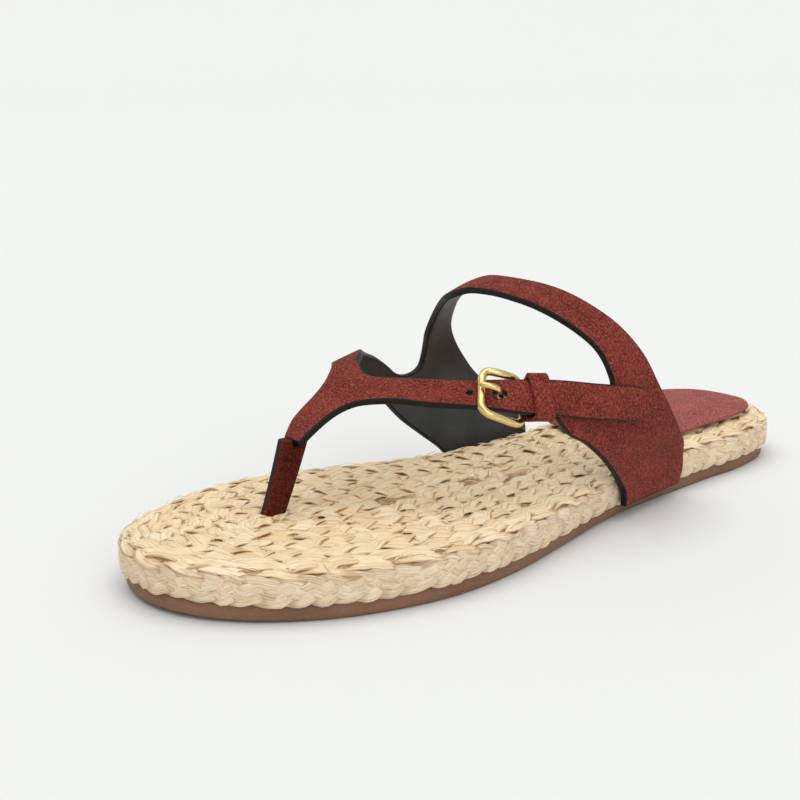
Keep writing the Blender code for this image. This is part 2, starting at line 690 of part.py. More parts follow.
def strap_root():
    """The line where the buckled strap leaves the main pattern, flat, from its upper end."""
    across = np.linspace(STRAP_WIDTH / 2, -STRAP_WIDTH / 2, 4)[:-1]
    return flat(strap_place(0.0, across))


def strap_edge():
    """The cut edge of the buckled strap, flat, from the lower end of its root round the point."""
    length = strap_length()
    count = round(length / LEATHER_EDGE_STEP)
    straight = np.linspace(0, 1 - STRAP_POINT / length, count)[1:]
    half = STRAP_WIDTH / 2
    lower = flat(strap_place(straight, -half))
    turns = np.radians([25, 50, 72])
    shares = 1 - STRAP_POINT / length * (1 - np.sin(turns))
    curve = half * np.cos(turns) ** 0.8
    tip = np.vstack([flat(strap_place(shares, -curve)), flat([strap_place(1.0, 0.0)]),
                     flat(strap_place(shares[::-1], curve[::-1]))])
    upper = flat(strap_place(straight[::-1], half))
    root = strap_root()
    start = flat([strap_place(0.0, -half)])
    return np.vstack([start, lower, tip, upper, root])


def strap_hole(share, long, wide):
    """A hole in the strap, flat."""
    turns = np.radians(np.arange(0, 360, 45) + 22.5)
    length = strap_length()
    return flat(strap_place(share + 0.5 * long / length * np.cos(turns), 0.5 * wide * np.sin(turns)))


def add_upper():
    """One wall over the last: quarters, tab, instep strap, branch, front strap and buckled strap."""
    verts, faces = fill_pattern(upper_edges(), LEATHER_STEP)
    main = on_last(verts[:, 0] / LENGTH, verts[:, 1] / HALF_GIRTH, np.zeros(len(verts)))
    holes = [strap_hole(AWL_AT, AWL_HOLE, AWL_HOLE), strap_hole(SLOT_AT, PRONG_SLOT, PRONG + 3 * CLEARANCE)]
    s_verts, s_faces = fill_pattern(strap_edge(), LEATHER_STEP, holes)
    shares = s_verts / (LENGTH, HALF_GIRTH)
    middle = flat(strap_middle(np.linspace(0, 1, STRAP_STEPS)))
    near = ((middle[None] - s_verts[:, None]) ** 2).sum(2).argmin(1) / (STRAP_STEPS - 1)
    strap = on_last(shares[:, 0], shares[:, 1], strap_lift(near))
    start = len(main)
    faces = [tuple(f) for f in faces] + [tuple(np.array(f) + start) for f in s_faces]
    mesh = mesh_from("upper", np.vstack([main, strap]), faces)
    face_out(mesh)
    upper = new_object("upper", "suede", mesh)
    wall = upper.modifiers.new("wall", "SOLIDIFY")
    wall.thickness = WALL
    wall.offset = -1
    wall.use_even_offset = True


def face_out(mesh):
    """Turns an open sheet so that its faces look away from the middle of the foot."""
    work = bmesh.new()
    work.from_mesh(mesh)
    outward = sum(f.normal.z * f.calc_area() for f in work.faces)
    if outward < 0:
        bmesh.ops.reverse_faces(work, faces=work.faces)
    work.to_mesh(mesh)
    work.free()


def tube(name, colour, points, width, closed):
    """A round wire along a path."""
    curve = bpy.data.curves.new(name, "CURVE")
    curve.dimensions = "3D"
    curve.bevel_depth = width / 2
    curve.bevel_resolution = 2
    curve.use_fill_caps = True
    line = curve.splines.new("POLY")
    line.points.add(len(points) - 1)
    for spot, point in zip(line.points, points):
        spot.co = (*point, 1.0)
    line.use_cyclic_u = closed
    obj = bpy.data.objects.new(name, curve)
    bpy.data.collections["woven_sandal"].objects.link(obj)
    curve.materials.append(bpy.data.materials.get(colour) or make_material(colour))
    return obj


def front_bar_height():
    """Height of the buckle's front bar over the upper's outer face."""
    return strap_lift(FRONT_BAR_AT + 0.5 * WIRE / strap_length()) + LAYER_GAP + WIRE / 2


def rear_bar_height():
    """Height of the buckle's rear bar over the upper's outer face: under the strap, level with the tab."""
    return -WIRE / 2


def add_buckle_frame():
    """Brass frame: its front bar lies over the strap and its rear bar under it, at the tab's end."""
    half = STRAP_WIDTH / 2 + BUCKLE_EASE + WIRE / 2
    length = strap_length()
    reach = (REAR_BAR_AT - FRONT_BAR_AT) * length
    corners = np.array([(0, -half), (0, half), (reach, half), (reach, -half)])
    points = []
    for k, here in enumerate(corners):
        before = corners[k - 1] - here
        after = corners[(k + 1) % 4] - here
        span = np.linalg.norm(after)
        before, after = before / np.linalg.norm(before), after / span
        radius = BUCKLE_CORNER
        centre = here + radius * (before + after)
        for turn in np.radians((0, 30, 60, 90)):
            points.append(centre - radius * (after * math.cos(turn) + before * math.sin(turn)))
        for share in (0.25, 0.5, 0.75):
            points.append(here + after * (radius + share * (span - 2 * radius)))
    points = np.array(points)
    share = FRONT_BAR_AT + points[:, 0] / length
    along = np.clip(points[:, 0] / reach, 0, 1)
    height = front_bar_height() * (1 - along) + rear_bar_height() * along + BUCKLE_BOW * np.sin(np.pi * along)
    path = strap_solid_point(share, points[:, 1] + BUCKLE_SET, height)
    tube("buckle_frame", "brass", path, WIRE, True)


def add_buckle_prong():
    """Brass prong: from the rear bar under the strap, up through its slot and over the front bar."""
    length = strap_length()
    under = rear_bar_height() + 0.0001
    over = front_bar_height() + WIRE / 2 + PRONG / 2 + CLEARANCE
    rows = (
        (REAR_BAR_AT - (WIRE / 2 + PRONG / 2 + CLEARANCE) / length, under),
        (SLOT_AT + 0.0022 / length, under),
        (SLOT_AT + 0.0009 / length, under + 0.0006),
        (SLOT_AT + 0.0003 / length, strap_lift(SLOT_AT) - WALL / 2),
        (SLOT_AT - 0.0003 / length, strap_lift(SLOT_AT) + PRONG / 2),
        (SLOT_AT - 0.0014 / length, over - 0.0006),
        (SLOT_AT - 0.0030 / length, over),
        (FRONT_BAR_AT - 0.0006 / length, over),
    )
    path = [strap_solid_point(share, 0.0, height) for share, height in rows]
    tube("buckle_prong", "brass", np.array(path), PRONG, False)


def add_keeper():
    """Leather loop round the strap and the tab, just behind the buckle."""
    start, end = keeper_shares()
    half = STRAP_WIDTH / 2 + LAYER_GAP
    low, high = -WALL - LAYER_GAP, WALL + 2 * LAYER_GAP
    radius = KEEPER_BEND
    loops = {}
    for side, grow in (("inner", 0.0), ("outer", KEEPER_WALL)):
        across = half + grow
        top, foot = high + grow, low - grow
        bend = radius + grow
        ring = []
        for quarter, (sx, sy) in enumerate(((1, 1), (-1, 1), (-1, -1), (1, -1))):
            for turn in (0, 30, 60, 90):
                angle = math.radians(90 * quarter + turn)
                level = top - bend if sy > 0 else foot + bend
                ring.append((sx * (across - bend) + bend * math.cos(angle), level + bend * math.sin(angle)))
        loops[side] = densify(np.array(ring), 0.0030)
    count = len(loops["inner"])
    stations = np.linspace(start, end, 4)
    verts = []
    for share in stations:
        for side in ("inner", "outer"):
            ring = loops[side]
            verts.append(strap_solid_point(share, ring[:, 0], ring[:, 1]))
    faces = []
    for k in range(count):
        n = (k + 1) % count
        for level in range(len(stations) - 1):
            a, b = 2 * level * count, 2 * (level + 1) * count
            faces.append((a + k, a + n, b + n, b + k))
            faces.append((a + count + k, a + count + n, b + count + n, b + count + k))
        end_ring = 2 * (len(stations) - 1) * count
        faces.append((k, n, count + n, count + k))
        faces.append((end_ring + k, end_ring + n, end_ring + count + n, end_ring + count + k))
    new_object("keeper_loop", "suede", mesh_from("keeper_loop", np.vstack(verts), faces))


def densify(ring, step):
    """Adds points to the long sides of a closed ring, the same number whatever its size."""
    out = []
    for k, point in enumerate(ring):
        after = ring[(k + 1) % len(ring)]
        out.append(point)
        if k % 4 == 3:
            out += [point + (after - point) * share for share in (0.25, 0.5, 0.75)]
    return np.array(out)


def clear_scene():
    """Removes what the scene starts with."""
    for obj in list(bpy.data.objects):
        bpy.data.objects.remove(obj)
    for name in ("woven_sandal", "cutters"):
        collection = bpy.data.collections.new(name)
        bpy.context.scene.collection.children.link(collection)


def centre_all():
    """Puts the origin under the middle of the whole sandal, through one parent empty."""
    bpy.context.view_layer.update()
    graph = bpy.context.evaluated_depsgraph_get()
    corners = []
    for obj in bpy.data.collections["woven_sandal"].objects:
        seen = obj.evaluated_get(graph)
        mesh = seen.to_mesh()
        corners.append(np.array([v.co for v in mesh.vertices]))
        seen.to_mesh_clear()
    points = np.vstack(corners)
    middle = (points.min(0) + points.max(0)) / 2
    origin = bpy.data.objects.new("sandal_origin", None)
    bpy.data.collections["cutters"].objects.link(origin)
    origin.location = (-middle[0], -middle[1], -points[:, 2].min())
    for obj in bpy.data.objects:
        if obj is not origin:
            obj.parent = origin


def main():
    clear_scene()
    add_outsole()
    add_midsole()
    add_footbed()
    add_heel_pad()
    post_body("toe_post")
    add_upper()
    add_keeper()
    add_buckle_frame()
    add_buckle_prong()
    centre_all()


main()
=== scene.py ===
import math

import bmesh
import bpy
import numpy as np
from mathutils import Matrix, Vector
from mathutils.geometry import delaunay_2d_cdt


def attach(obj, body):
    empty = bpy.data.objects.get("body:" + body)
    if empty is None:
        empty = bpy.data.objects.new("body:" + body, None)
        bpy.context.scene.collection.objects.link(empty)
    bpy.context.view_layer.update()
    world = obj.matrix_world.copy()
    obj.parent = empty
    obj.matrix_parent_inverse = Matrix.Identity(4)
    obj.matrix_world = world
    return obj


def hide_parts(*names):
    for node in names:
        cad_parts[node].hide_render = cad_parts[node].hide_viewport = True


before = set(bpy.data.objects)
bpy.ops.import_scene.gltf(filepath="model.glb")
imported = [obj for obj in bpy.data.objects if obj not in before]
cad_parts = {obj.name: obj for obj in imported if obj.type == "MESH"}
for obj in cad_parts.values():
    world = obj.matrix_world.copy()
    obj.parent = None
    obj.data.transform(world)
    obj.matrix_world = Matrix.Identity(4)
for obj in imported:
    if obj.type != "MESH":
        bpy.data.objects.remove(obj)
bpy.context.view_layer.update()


# Camera: a long lens low over the toe, turned towards the outer side of the sandal.
# Its place and turn were solved from the edges of the sole and straps.
CAMERA_PLACE = (0.336963, -0.332279, 0.156901)
CAMERA_YAW = 0.850767
CAMERA_PITCH = 0.248444
CAMERA_ROLL = -0.0165328
FOCAL_PIXELS = 1578.08
FRAME_PIXELS = 800
SENSOR = 36.0


def added(name, data):
    """A new object in the scene."""
    thing = bpy.data.objects.new(name, data)
    bpy.context.scene.collection.objects.link(thing)
    return thing


ahead = Vector((-math.sin(CAMERA_YAW) * math.cos(CAMERA_PITCH),
                math.cos(CAMERA_YAW) * math.cos(CAMERA_PITCH),
                -math.sin(CAMERA_PITCH)))
level = Vector((math.cos(CAMERA_YAW), math.sin(CAMERA_YAW), 0.0))
upright = level.cross(ahead)
rightward = level * math.cos(CAMERA_ROLL) + upright * math.sin(CAMERA_ROLL)
upward = upright * math.cos(CAMERA_ROLL) - level * math.sin(CAMERA_ROLL)
lens = bpy.data.cameras.new("camera")
lens.sensor_width = SENSOR
lens.lens = FOCAL_PIXELS * SENSOR / FRAME_PIXELS
lens.clip_start = 0.01
lens.clip_end = 50.0
camera = added("camera", lens)
facing = Matrix((rightward, upward, -ahead)).transposed().to_4x4()
camera.matrix_world = Matrix.Translation(CAMERA_PLACE) @ facing
bpy.context.scene.camera = camera


class Thread:
    """One socket of a node tree. Sums on it add Math nodes, and node() adds any other kind."""

    def __init__(self, tree, socket=None):
        self.tree = tree
        self.socket = socket

    def node(self, kind, settings=None, inputs=None, output=0):
        made = self.tree.nodes.new(kind)
        for name, value in (settings or {}).items():
            setattr(made, name, value)
        for name, value in (inputs or {}).items():
            if isinstance(value, Thread):
                self.tree.links.new(value.socket, made.inputs[name])
            else:
                made.inputs[name].default_value = value
        return Thread(self.tree, made.outputs[output])

    def math(self, operation, *others):
        return self.node("ShaderNodeMath", {"operation": operation}, dict(enumerate((self, *others))))

    def vector(self, operation, *others):
        return self.node("ShaderNodeVectorMath", {"operation": operation}, dict(enumerate((self, *others))))

    def scaled(self, by):
        return self.node("ShaderNodeVectorMath", {"operation": "SCALE"}, {0: self, "Scale": by})

    def between(self, low, high):
        """0 at the low value and 1 at the high one, with soft ends."""
        return self.node("ShaderNodeMapRange", {"interpolation_type": "SMOOTHSTEP"},
                         {"Value": self, "From Min": low, "From Max": high})

    def mix(self, first, second):
        """This value mixes two colours."""
        return self.node("ShaderNodeMix", {"data_type": "RGBA"}, {0: self, 6: first, 7: second}, 2)

    def noise(self, scale, detail=2.0, roughness=0.5):
        """Noise over this vector."""
        return self.node("ShaderNodeTexNoise", {},
                         {"Vector": self, "Scale": scale, "Detail": detail, "Roughness": roughness})

    def xyz(self, x=0.0, y=0.0, z=0.0):
        """A vector of three values."""
        return self.node("ShaderNodeCombineXYZ", {}, {"X": x, "Y": y, "Z": z})

    def __add__(self, other):
        return self.math("ADD", other)

    def __sub__(self, other):
        return self.math("SUBTRACT", other)

    def __rsub__(self, other):
        return self.node("ShaderNodeMath", {"operation": "SUBTRACT"}, {0: other, 1: self})

    def __mul__(self, other):
        return self.math("MULTIPLY", other)

    def __truediv__(self, other):
        return self.math("DIVIDE", other)

    __radd__ = __add__
    __rmul__ = __mul__


def new_finish(name):
    """An empty material, the thread that its nodes are added with, and the place on the object."""
    material = bpy.data.materials.new(name)
    material.use_nodes = True
    material.node_tree.nodes.clear()
    start = Thread(material.node_tree)
    return material, start, start.node("ShaderNodeTexCoord", output="Object")


def close_finish(start, shader, bumps=(), **values):
    """The main shader of a finish, with its bumps one on the other."""
    normal = None
    for height, depth in bumps:
        below = {"Normal": normal} if normal else {}
        normal = start.node("ShaderNodeBump", {}, {"Height": height, "Distance": depth, **below})
    if normal:
        values["Normal"] = normal
    values = {name.replace("_", " "): value for name, value in values.items()}
    surface = start.node("ShaderNodeBsdfPrincipled", {}, {**shader, **values})
    end = start.tree.nodes.new("ShaderNodeOutputMaterial")
    start.tree.links.new(surface.socket, end.inputs["Surface"])


# Floor: a pale studio sweep, flat under the sandal and curved up far behind it.
# An even pale room lights it, with two broad soft lights, from above and from the outer side.
FLOOR_COLOUR = (0.80, 0.805, 0.795, 1.0)
ROOM_COLOUR = (0.985, 1.0, 0.995, 1.0)
ROOM_STRENGTH = 0.62
SWEEP_START = 2.2
SWEEP_RADIUS = 1.6
FLOOR_REACH = 6.0
FLOOR_GRAIN = 0.985

bpy.context.scene.view_settings.view_transform = "Standard"
floor_finish, start, place = new_finish("studio_floor")
grain = place.noise(3.0, 2.0)
close_finish(start, {"Roughness": 0.9, "Specular IOR Level": 0.1},
             Base_Color=grain.mix(FLOOR_COLOUR, tuple(FLOOR_GRAIN * c for c in FLOOR_COLOUR)))
turns = np.linspace(0, math.pi / 2, 24)
profile = [(-FLOOR_REACH, 0.0), (SWEEP_START, 0.0)]
profile += [(SWEEP_START + SWEEP_RADIUS * math.sin(t), SWEEP_RADIUS * (1 - math.cos(t))) for t in turns[1:]]
profile.append((SWEEP_START + SWEEP_RADIUS, FLOOR_REACH))
away = Vector((ahead.x, ahead.y, 0)).normalized()
across = Vector((-away.y, away.x, 0))
sweep_points = [tuple(away * run + across * side + Vector((0, 0, height)))
                for run, height in profile for side in (FLOOR_REACH, -FLOOR_REACH)]
sweep_faces = [(2 * k, 2 * k + 1, 2 * k + 3, 2 * k + 2) for k in range(len(profile) - 1)]
sweep = bpy.data.meshes.new("studio_floor")
sweep.from_pydata(sweep_points, [], sweep_faces)
sweep.shade_smooth()
sweep.materials.append(floor_finish)
floor = added("studio_floor", sweep)

room = bpy.data.worlds.new("room")
room.use_nodes = True
room.node_tree.nodes["Background"].inputs["Color"].default_value = ROOM_COLOUR
room.node_tree.nodes["Background"].inputs["Strength"].default_value = ROOM_STRENGTH
bpy.context.scene.world = room

# name, direction that the light travels, strength, apparent width in degrees
LIGHTS = (
    ("ceiling_light", (-0.05, 0.15, -1.0), 1.30, 70),
    ("side_light", (-0.85, 0.25, -0.50), 0.55, 40),
)
for name, direction, strength, width in LIGHTS:
    light = bpy.data.lights.new(name, "SUN")
    light.energy = strength
    light.angle = math.radians(width)
    lamp = added(name, light)
    lamp.rotation_euler = Vector(direction).to_track_quat("-Z", "Y").to_euler()


# Outsole: a brown rubber sheet cut to the outline of a left foot, with a buffed edge.
# It lies under the braided side, a little set in, and lifts slightly at the toe and the waist.
LENGTH = 0.250
BALL_WIDTH = 0.0963
OUTSOLE_HEIGHT = 0.0048
TOE_SPRING = 0.0015
SPRING_UNTIL = 0.17
ARCH_RISE = 0.0006
ARCH_FROM = 0.40
ARCH_UNTIL = 0.74
TOE_TIP = -0.042
OFF_CENTRE = np.array((-0.000221, 0.000010, 0.0))
SOLE_STEP = 0.0012

# Share of the length, then the outer and inner edge in ball widths
OUTLINE = np.array([
    (0.015, 0.107, -0.234),
    (0.050, 0.237, -0.340),
    (0.110, 0.362, -0.435),
    (0.190, 0.455, -0.493),
    (0.270, 0.498, -0.481),
    (0.360, 0.487, -0.404),
    (0.470, 0.425, -0.296),
    (0.580, 0.357, -0.247),
    (0.690, 0.317, -0.269),
    (0.800, 0.296, -0.304),
    (0.890, 0.287, -0.304),
    (0.960, 0.232, -0.229),
    (0.990, 0.150, -0.132),
], dtype=[("along", float), ("outer", float), ("inner", float)])

# The wall of the rubber sheet from below: inset, height share
OUTSOLE_WALL = ((0.0110, 0.0), (0.0042, 0.0), (0.0034, 0.02), (0.0029, 0.07), (0.0026, 0.14),
                (0.0024, 0.28), (0.0022, 0.55), (0.0021, 0.86), (0.0023, 0.97), (0.0030, 1.0),
                (0.0110, 1.0))


def smooth(knots, values, at):
    """Values read from a smooth curve through the rows of a table."""
    knots = np.asarray(knots, float)
    values = np.asarray(values, float)
    slopes = np.gradient(values, knots, axis=0)
    at = np.asarray(at, float)
    i = np.clip(np.searchsorted(knots, at) - 1, 0, len(knots) - 2)
    gap = knots[i + 1] - knots[i]
    t = (at - knots[i]) / gap
    if values.ndim > 1:
        t = t[..., None]
        gap = gap[..., None]
    ease = t * t * (3 - 2 * t)
    start = values[i] * (1 - ease) + values[i + 1] * ease
    return start + gap * (slopes[i] * t * (1 - t) ** 2 - slopes[i + 1] * t * t * (1 - t))


def follow(points, step, closed=False):
    """Evenly spaced points on a smooth path through the given ones, with both ends when it is open."""
    points = np.asarray(points, float)
    if closed:
        points = np.vstack([points[-3:], points, points[:4]])
    run = np.r_[0, np.cumsum(np.linalg.norm(np.diff(points, axis=0), axis=1))]
    first, final = (run[3], run[-4]) if closed else (run[0], run[-1])
    dense = smooth(run, points, np.linspace(first, final, 40 * len(points)))
    length = np.r_[0, np.cumsum(np.linalg.norm(np.diff(dense, axis=0), axis=1))]
    count = max(2, round(length[-1] / step))
    at = np.linspace(0, length[-1], count + 1)
    path = np.column_stack([np.interp(at, length, dense[:, k]) for k in range(points.shape[1])])
    return path[:-1] if closed else path


def inset_loop(path, inset):
    """A closed path moved to its left by the inset."""
    ahead = np.roll(path, -1, axis=0) - np.roll(path, 1, axis=0)
    ahead /= np.linalg.norm(ahead, axis=1)[:, None]
    return path + inset * np.column_stack([-ahead[:, 1], ahead[:, 0]])


def sole_outline(inset=0.0, step=SOLE_STEP):
    """The sole's plan, counter-clockwise from the toe tip, moved inwards by an inset."""
    y = (OUTLINE["along"] - 0.5) * LENGTH
    outer = np.column_stack([OUTLINE["outer"] * BALL_WIDTH, y])
    inner = np.column_stack([OUTLINE["inner"] * BALL_WIDTH, y])[::-1]
    tip = (TOE_TIP * BALL_WIDTH, -LENGTH / 2)
    path = follow(np.vstack([[tip], outer, [(0.0, LENGTH / 2)], inner]), step, closed=True)
    return inset_loop(path, inset)


def distance_to(path, points):
    """Distance of each point to a closed path."""
    side = np.roll(path, -1, axis=0) - path
    offset = points[:, None, :] - path[None]
    share = np.clip((offset * side).sum(2) / (side ** 2).sum(1), 0, 1)
    return np.linalg.norm(offset - share[..., None] * side, axis=2).min(1)


def spring(along):
    """How far the toe end of the sole is lifted."""
    return TOE_SPRING * np.clip((SPRING_UNTIL - along) / SPRING_UNTIL, 0, 1) ** 2


def under_lift(along):
    """How far the underside is raised at the toe and between heel and forefoot."""
    share = np.clip((along - ARCH_FROM) / (ARCH_UNTIL - ARCH_FROM), 0, 1)
    return spring(along) + ARCH_RISE * np.sin(np.pi * share) ** 2


def ring_at(inset, height, lift=spring):
    """The sole's outline at an inset and a height, lifted where the sole is."""
    path = sole_outline(inset)
    return np.column_stack([path, height + lift(path[:, 1] / LENGTH + 0.5)])


def wall_between(count, low, high):
    """Faces between two rings whose points start at the given places."""
    return [(low + k, low + (k + 1) % count, high + (k + 1) % count, high + k) for k in range(count)]


def rungs(count, start):
    """Faces that close a ring by joining each point to the one across from it."""
    faces = []
    low, high = 0, count
    while high - low > 1:
        rung = (low, low + 1, high - 1, high % count)
        faces.append(tuple(start + k for k in dict.fromkeys(rung)))
        low, high = low + 1, high - 1
    return faces


def closed_mesh(mesh, sharp):
    """Joins doubled points, turns all faces outwards and keeps edges over an angle sharp."""
    work = bmesh.new()
    work.from_mesh(mesh)
    bmesh.ops.remove_doubles(work, verts=work.verts, dist=1e-6)
    bmesh.ops.recalc_face_normals(work, faces=work.faces)
    work.to_mesh(mesh)
    work.free()
    mesh.shade_smooth()
    mesh.set_sharp_from_angle(angle=math.radians(sharp))


def shaped(name, verts, faces, finishes, sharp=40):
    """A finished object of closed faces, placed with the frame."""
    mesh = bpy.data.meshes.new(name)
    placed = np.asarray(verts, float) + OFF_CENTRE
    mesh.from_pydata([tuple(map(float, v)) for v in placed], [], [tuple(map(int, f)) for f in faces])
    closed_mesh(mesh, sharp)
    for finish in finishes:
        mesh.materials.append(finish)
    return added(name, mesh)


def stacked(name, rings, finishes, sharp=40):
    """A closed body through rings of equally many points, each end closed by rungs across it."""
    count = len(rings[0])
    faces = [rung[::-1] for rung in rungs(count, 0)]
    for level in range(len(rings) - 1):
        faces += wall_between(count, level * count, (level + 1) * count)
    faces += rungs(count, (len(rings) - 1) * count)
    return shaped(name, np.vstack(rings), faces, finishes, sharp)


rubber, start, place = new_finish("buffed_brown_rubber")
broad = place.noise(35.0, 3.0)
dust = place.noise(900.0, 4.0, 0.7)
streaks = place.vector("MULTIPLY", (1.0, 1.0, 9.0)).noise(260.0, 3.0, 0.6)
warm = broad.between(0.3, 0.7).mix((0.190, 0.094, 0.048, 1.0), (0.250, 0.130, 0.072, 1.0))
worn = (dust.between(0.45, 0.75) * 0.5).mix(warm, (0.330, 0.190, 0.115, 1.0))
close_finish(start, {"Specular IOR Level": 0.35}, ((dust, 0.00006), (streaks, 0.00010)),
             Base_Color=(streaks.between(0.35, 0.8) * 0.35).mix(worn, (0.150, 0.075, 0.045, 1.0)),
             Roughness=dust * 0.25 + 0.50)

outsole = stacked("outsole_sheet",
                  [ring_at(inset, share * OUTSOLE_HEIGHT, under_lift if share < 0.3 else spring)
                   for inset, share in OUTSOLE_WALL], [rubber])
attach(outsole, "root")
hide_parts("outsole")


# Raffia core: the light body of the sole under its plaits, seen only as dark straw in their gaps: its
# colour is darkened as painted shade.
# Its side stands behind the plaited band and its top behind the coils.
SIDE_BRAID_HEIGHT = 0.0080
MIDSOLE_TOP = OUTSOLE_HEIGHT + SIDE_BRAID_HEIGHT
CLEARANCE = 0.0003
COIL_THICKNESS = 0.0031
FOOTBED_TOP = MIDSOLE_TOP + CLEARANCE + COIL_THICKNESS
CORE_INSET = 0.0019
CORE_BEHIND_COILS = 0.0014
CORE_TOP = FOOTBED_TOP - CORE_BEHIND_COILS

core_finish, start, place = new_finish("shaded_straw")
husk = place.vector("MULTIPLY", (1.0, 1.0, 3.0)).noise(420.0, 4.0, 0.65)
# Dark straw colours: painted shade for the gaps where the core is seen.
close_finish(start, {"Specular IOR Level": 0.2, "Roughness": 0.8}, ((husk, 0.0004),),
             Base_Color=husk.between(0.3, 0.7).mix((0.300, 0.185, 0.080, 1.0), (0.620, 0.440, 0.240, 1.0)))
# The wall of the core from below: inset, height
CORE_WALL = ((0.0060, OUTSOLE_HEIGHT + 0.0002), (CORE_INSET, OUTSOLE_HEIGHT + 0.0002),
             (CORE_INSET - 0.0004, OUTSOLE_HEIGHT + 0.0020), (CORE_INSET - 0.0004, MIDSOLE_TOP - 0.0012),
             (CORE_INSET + 0.0004, MIDSOLE_TOP), (0.0036, CORE_TOP - 0.0003), (0.0055, CORE_TOP))
core = stacked("sole_core", [ring_at(inset, height) for inset, height in CORE_WALL], [core_finish])
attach(core, "root")


# Side band: one flat plait of five leaf strands wrapped round the sole, with its edges up and down.
# Each strand is a folded palm leaf that runs over one and under the next.
BAND_INSET = 0.0011
BAND_RISE = 0.0002
STRAND_SIDES = 14
DRIFT = 2.2
TURN_ROUNDING = 0.92
LEAST_GIRTH = 0.45
GIRTH_RANGE = 1.1
TWIST = 3.0


def leaf_finish(name, pale, straw, gold, gap):
    """Dry leaf: fine fibres along the strand, strands of unlike tone, and painted shade where they dip
    under each other and at their edges.
    """
    finish, start, place = new_finish(name)
    run, across, strand, dip = (start.node("ShaderNodeAttribute", {"attribute_name": label}, output="Fac")
                                for label in ("run", "across", "strand", "dip"))
    fibres = start.xyz(across * 8.0, run * 90.0, strand * 9.7).noise(1.0, 3.0, 0.6)
    coarse = start.xyz(across * 4.0, run * 55.0, strand * 3.1).noise(1.0)
    tones = start.xyz(run * 38.0, strand * 5.3).noise(1.0, 1.0)
    patches = place.noise(130.0, 3.0, 0.6)
    leaf = tones.between(0.35, 0.65).mix(straw, pale)
    leaf = (coarse.between(0.46, 0.66) * 0.60).mix(leaf, gold)
    leaf = (patches.between(0.55, 0.72) * 0.45).mix(leaf, gold)
    leaf = (fibres.between(0.54, 0.70) * 0.45).mix(leaf, gap)
    # Painted shade at both edges of each strand, where it turns down into the gaps.
    leaf = (across.math("ABSOLUTE").between(0.78, 1.0) * 0.45).mix(leaf, gap)
    # Painted shade where the strand dips under the others in the weave.
    leaf = (dip.between(0.50, 1.0) * 0.55).mix(leaf, gap)
    close_finish(start, {"Specular IOR Level": 0.35}, ((coarse, 0.0006), (fibres, 0.00035)),
                 Base_Color=leaf, Roughness=fibres * 0.25 + 0.45)
    return finish


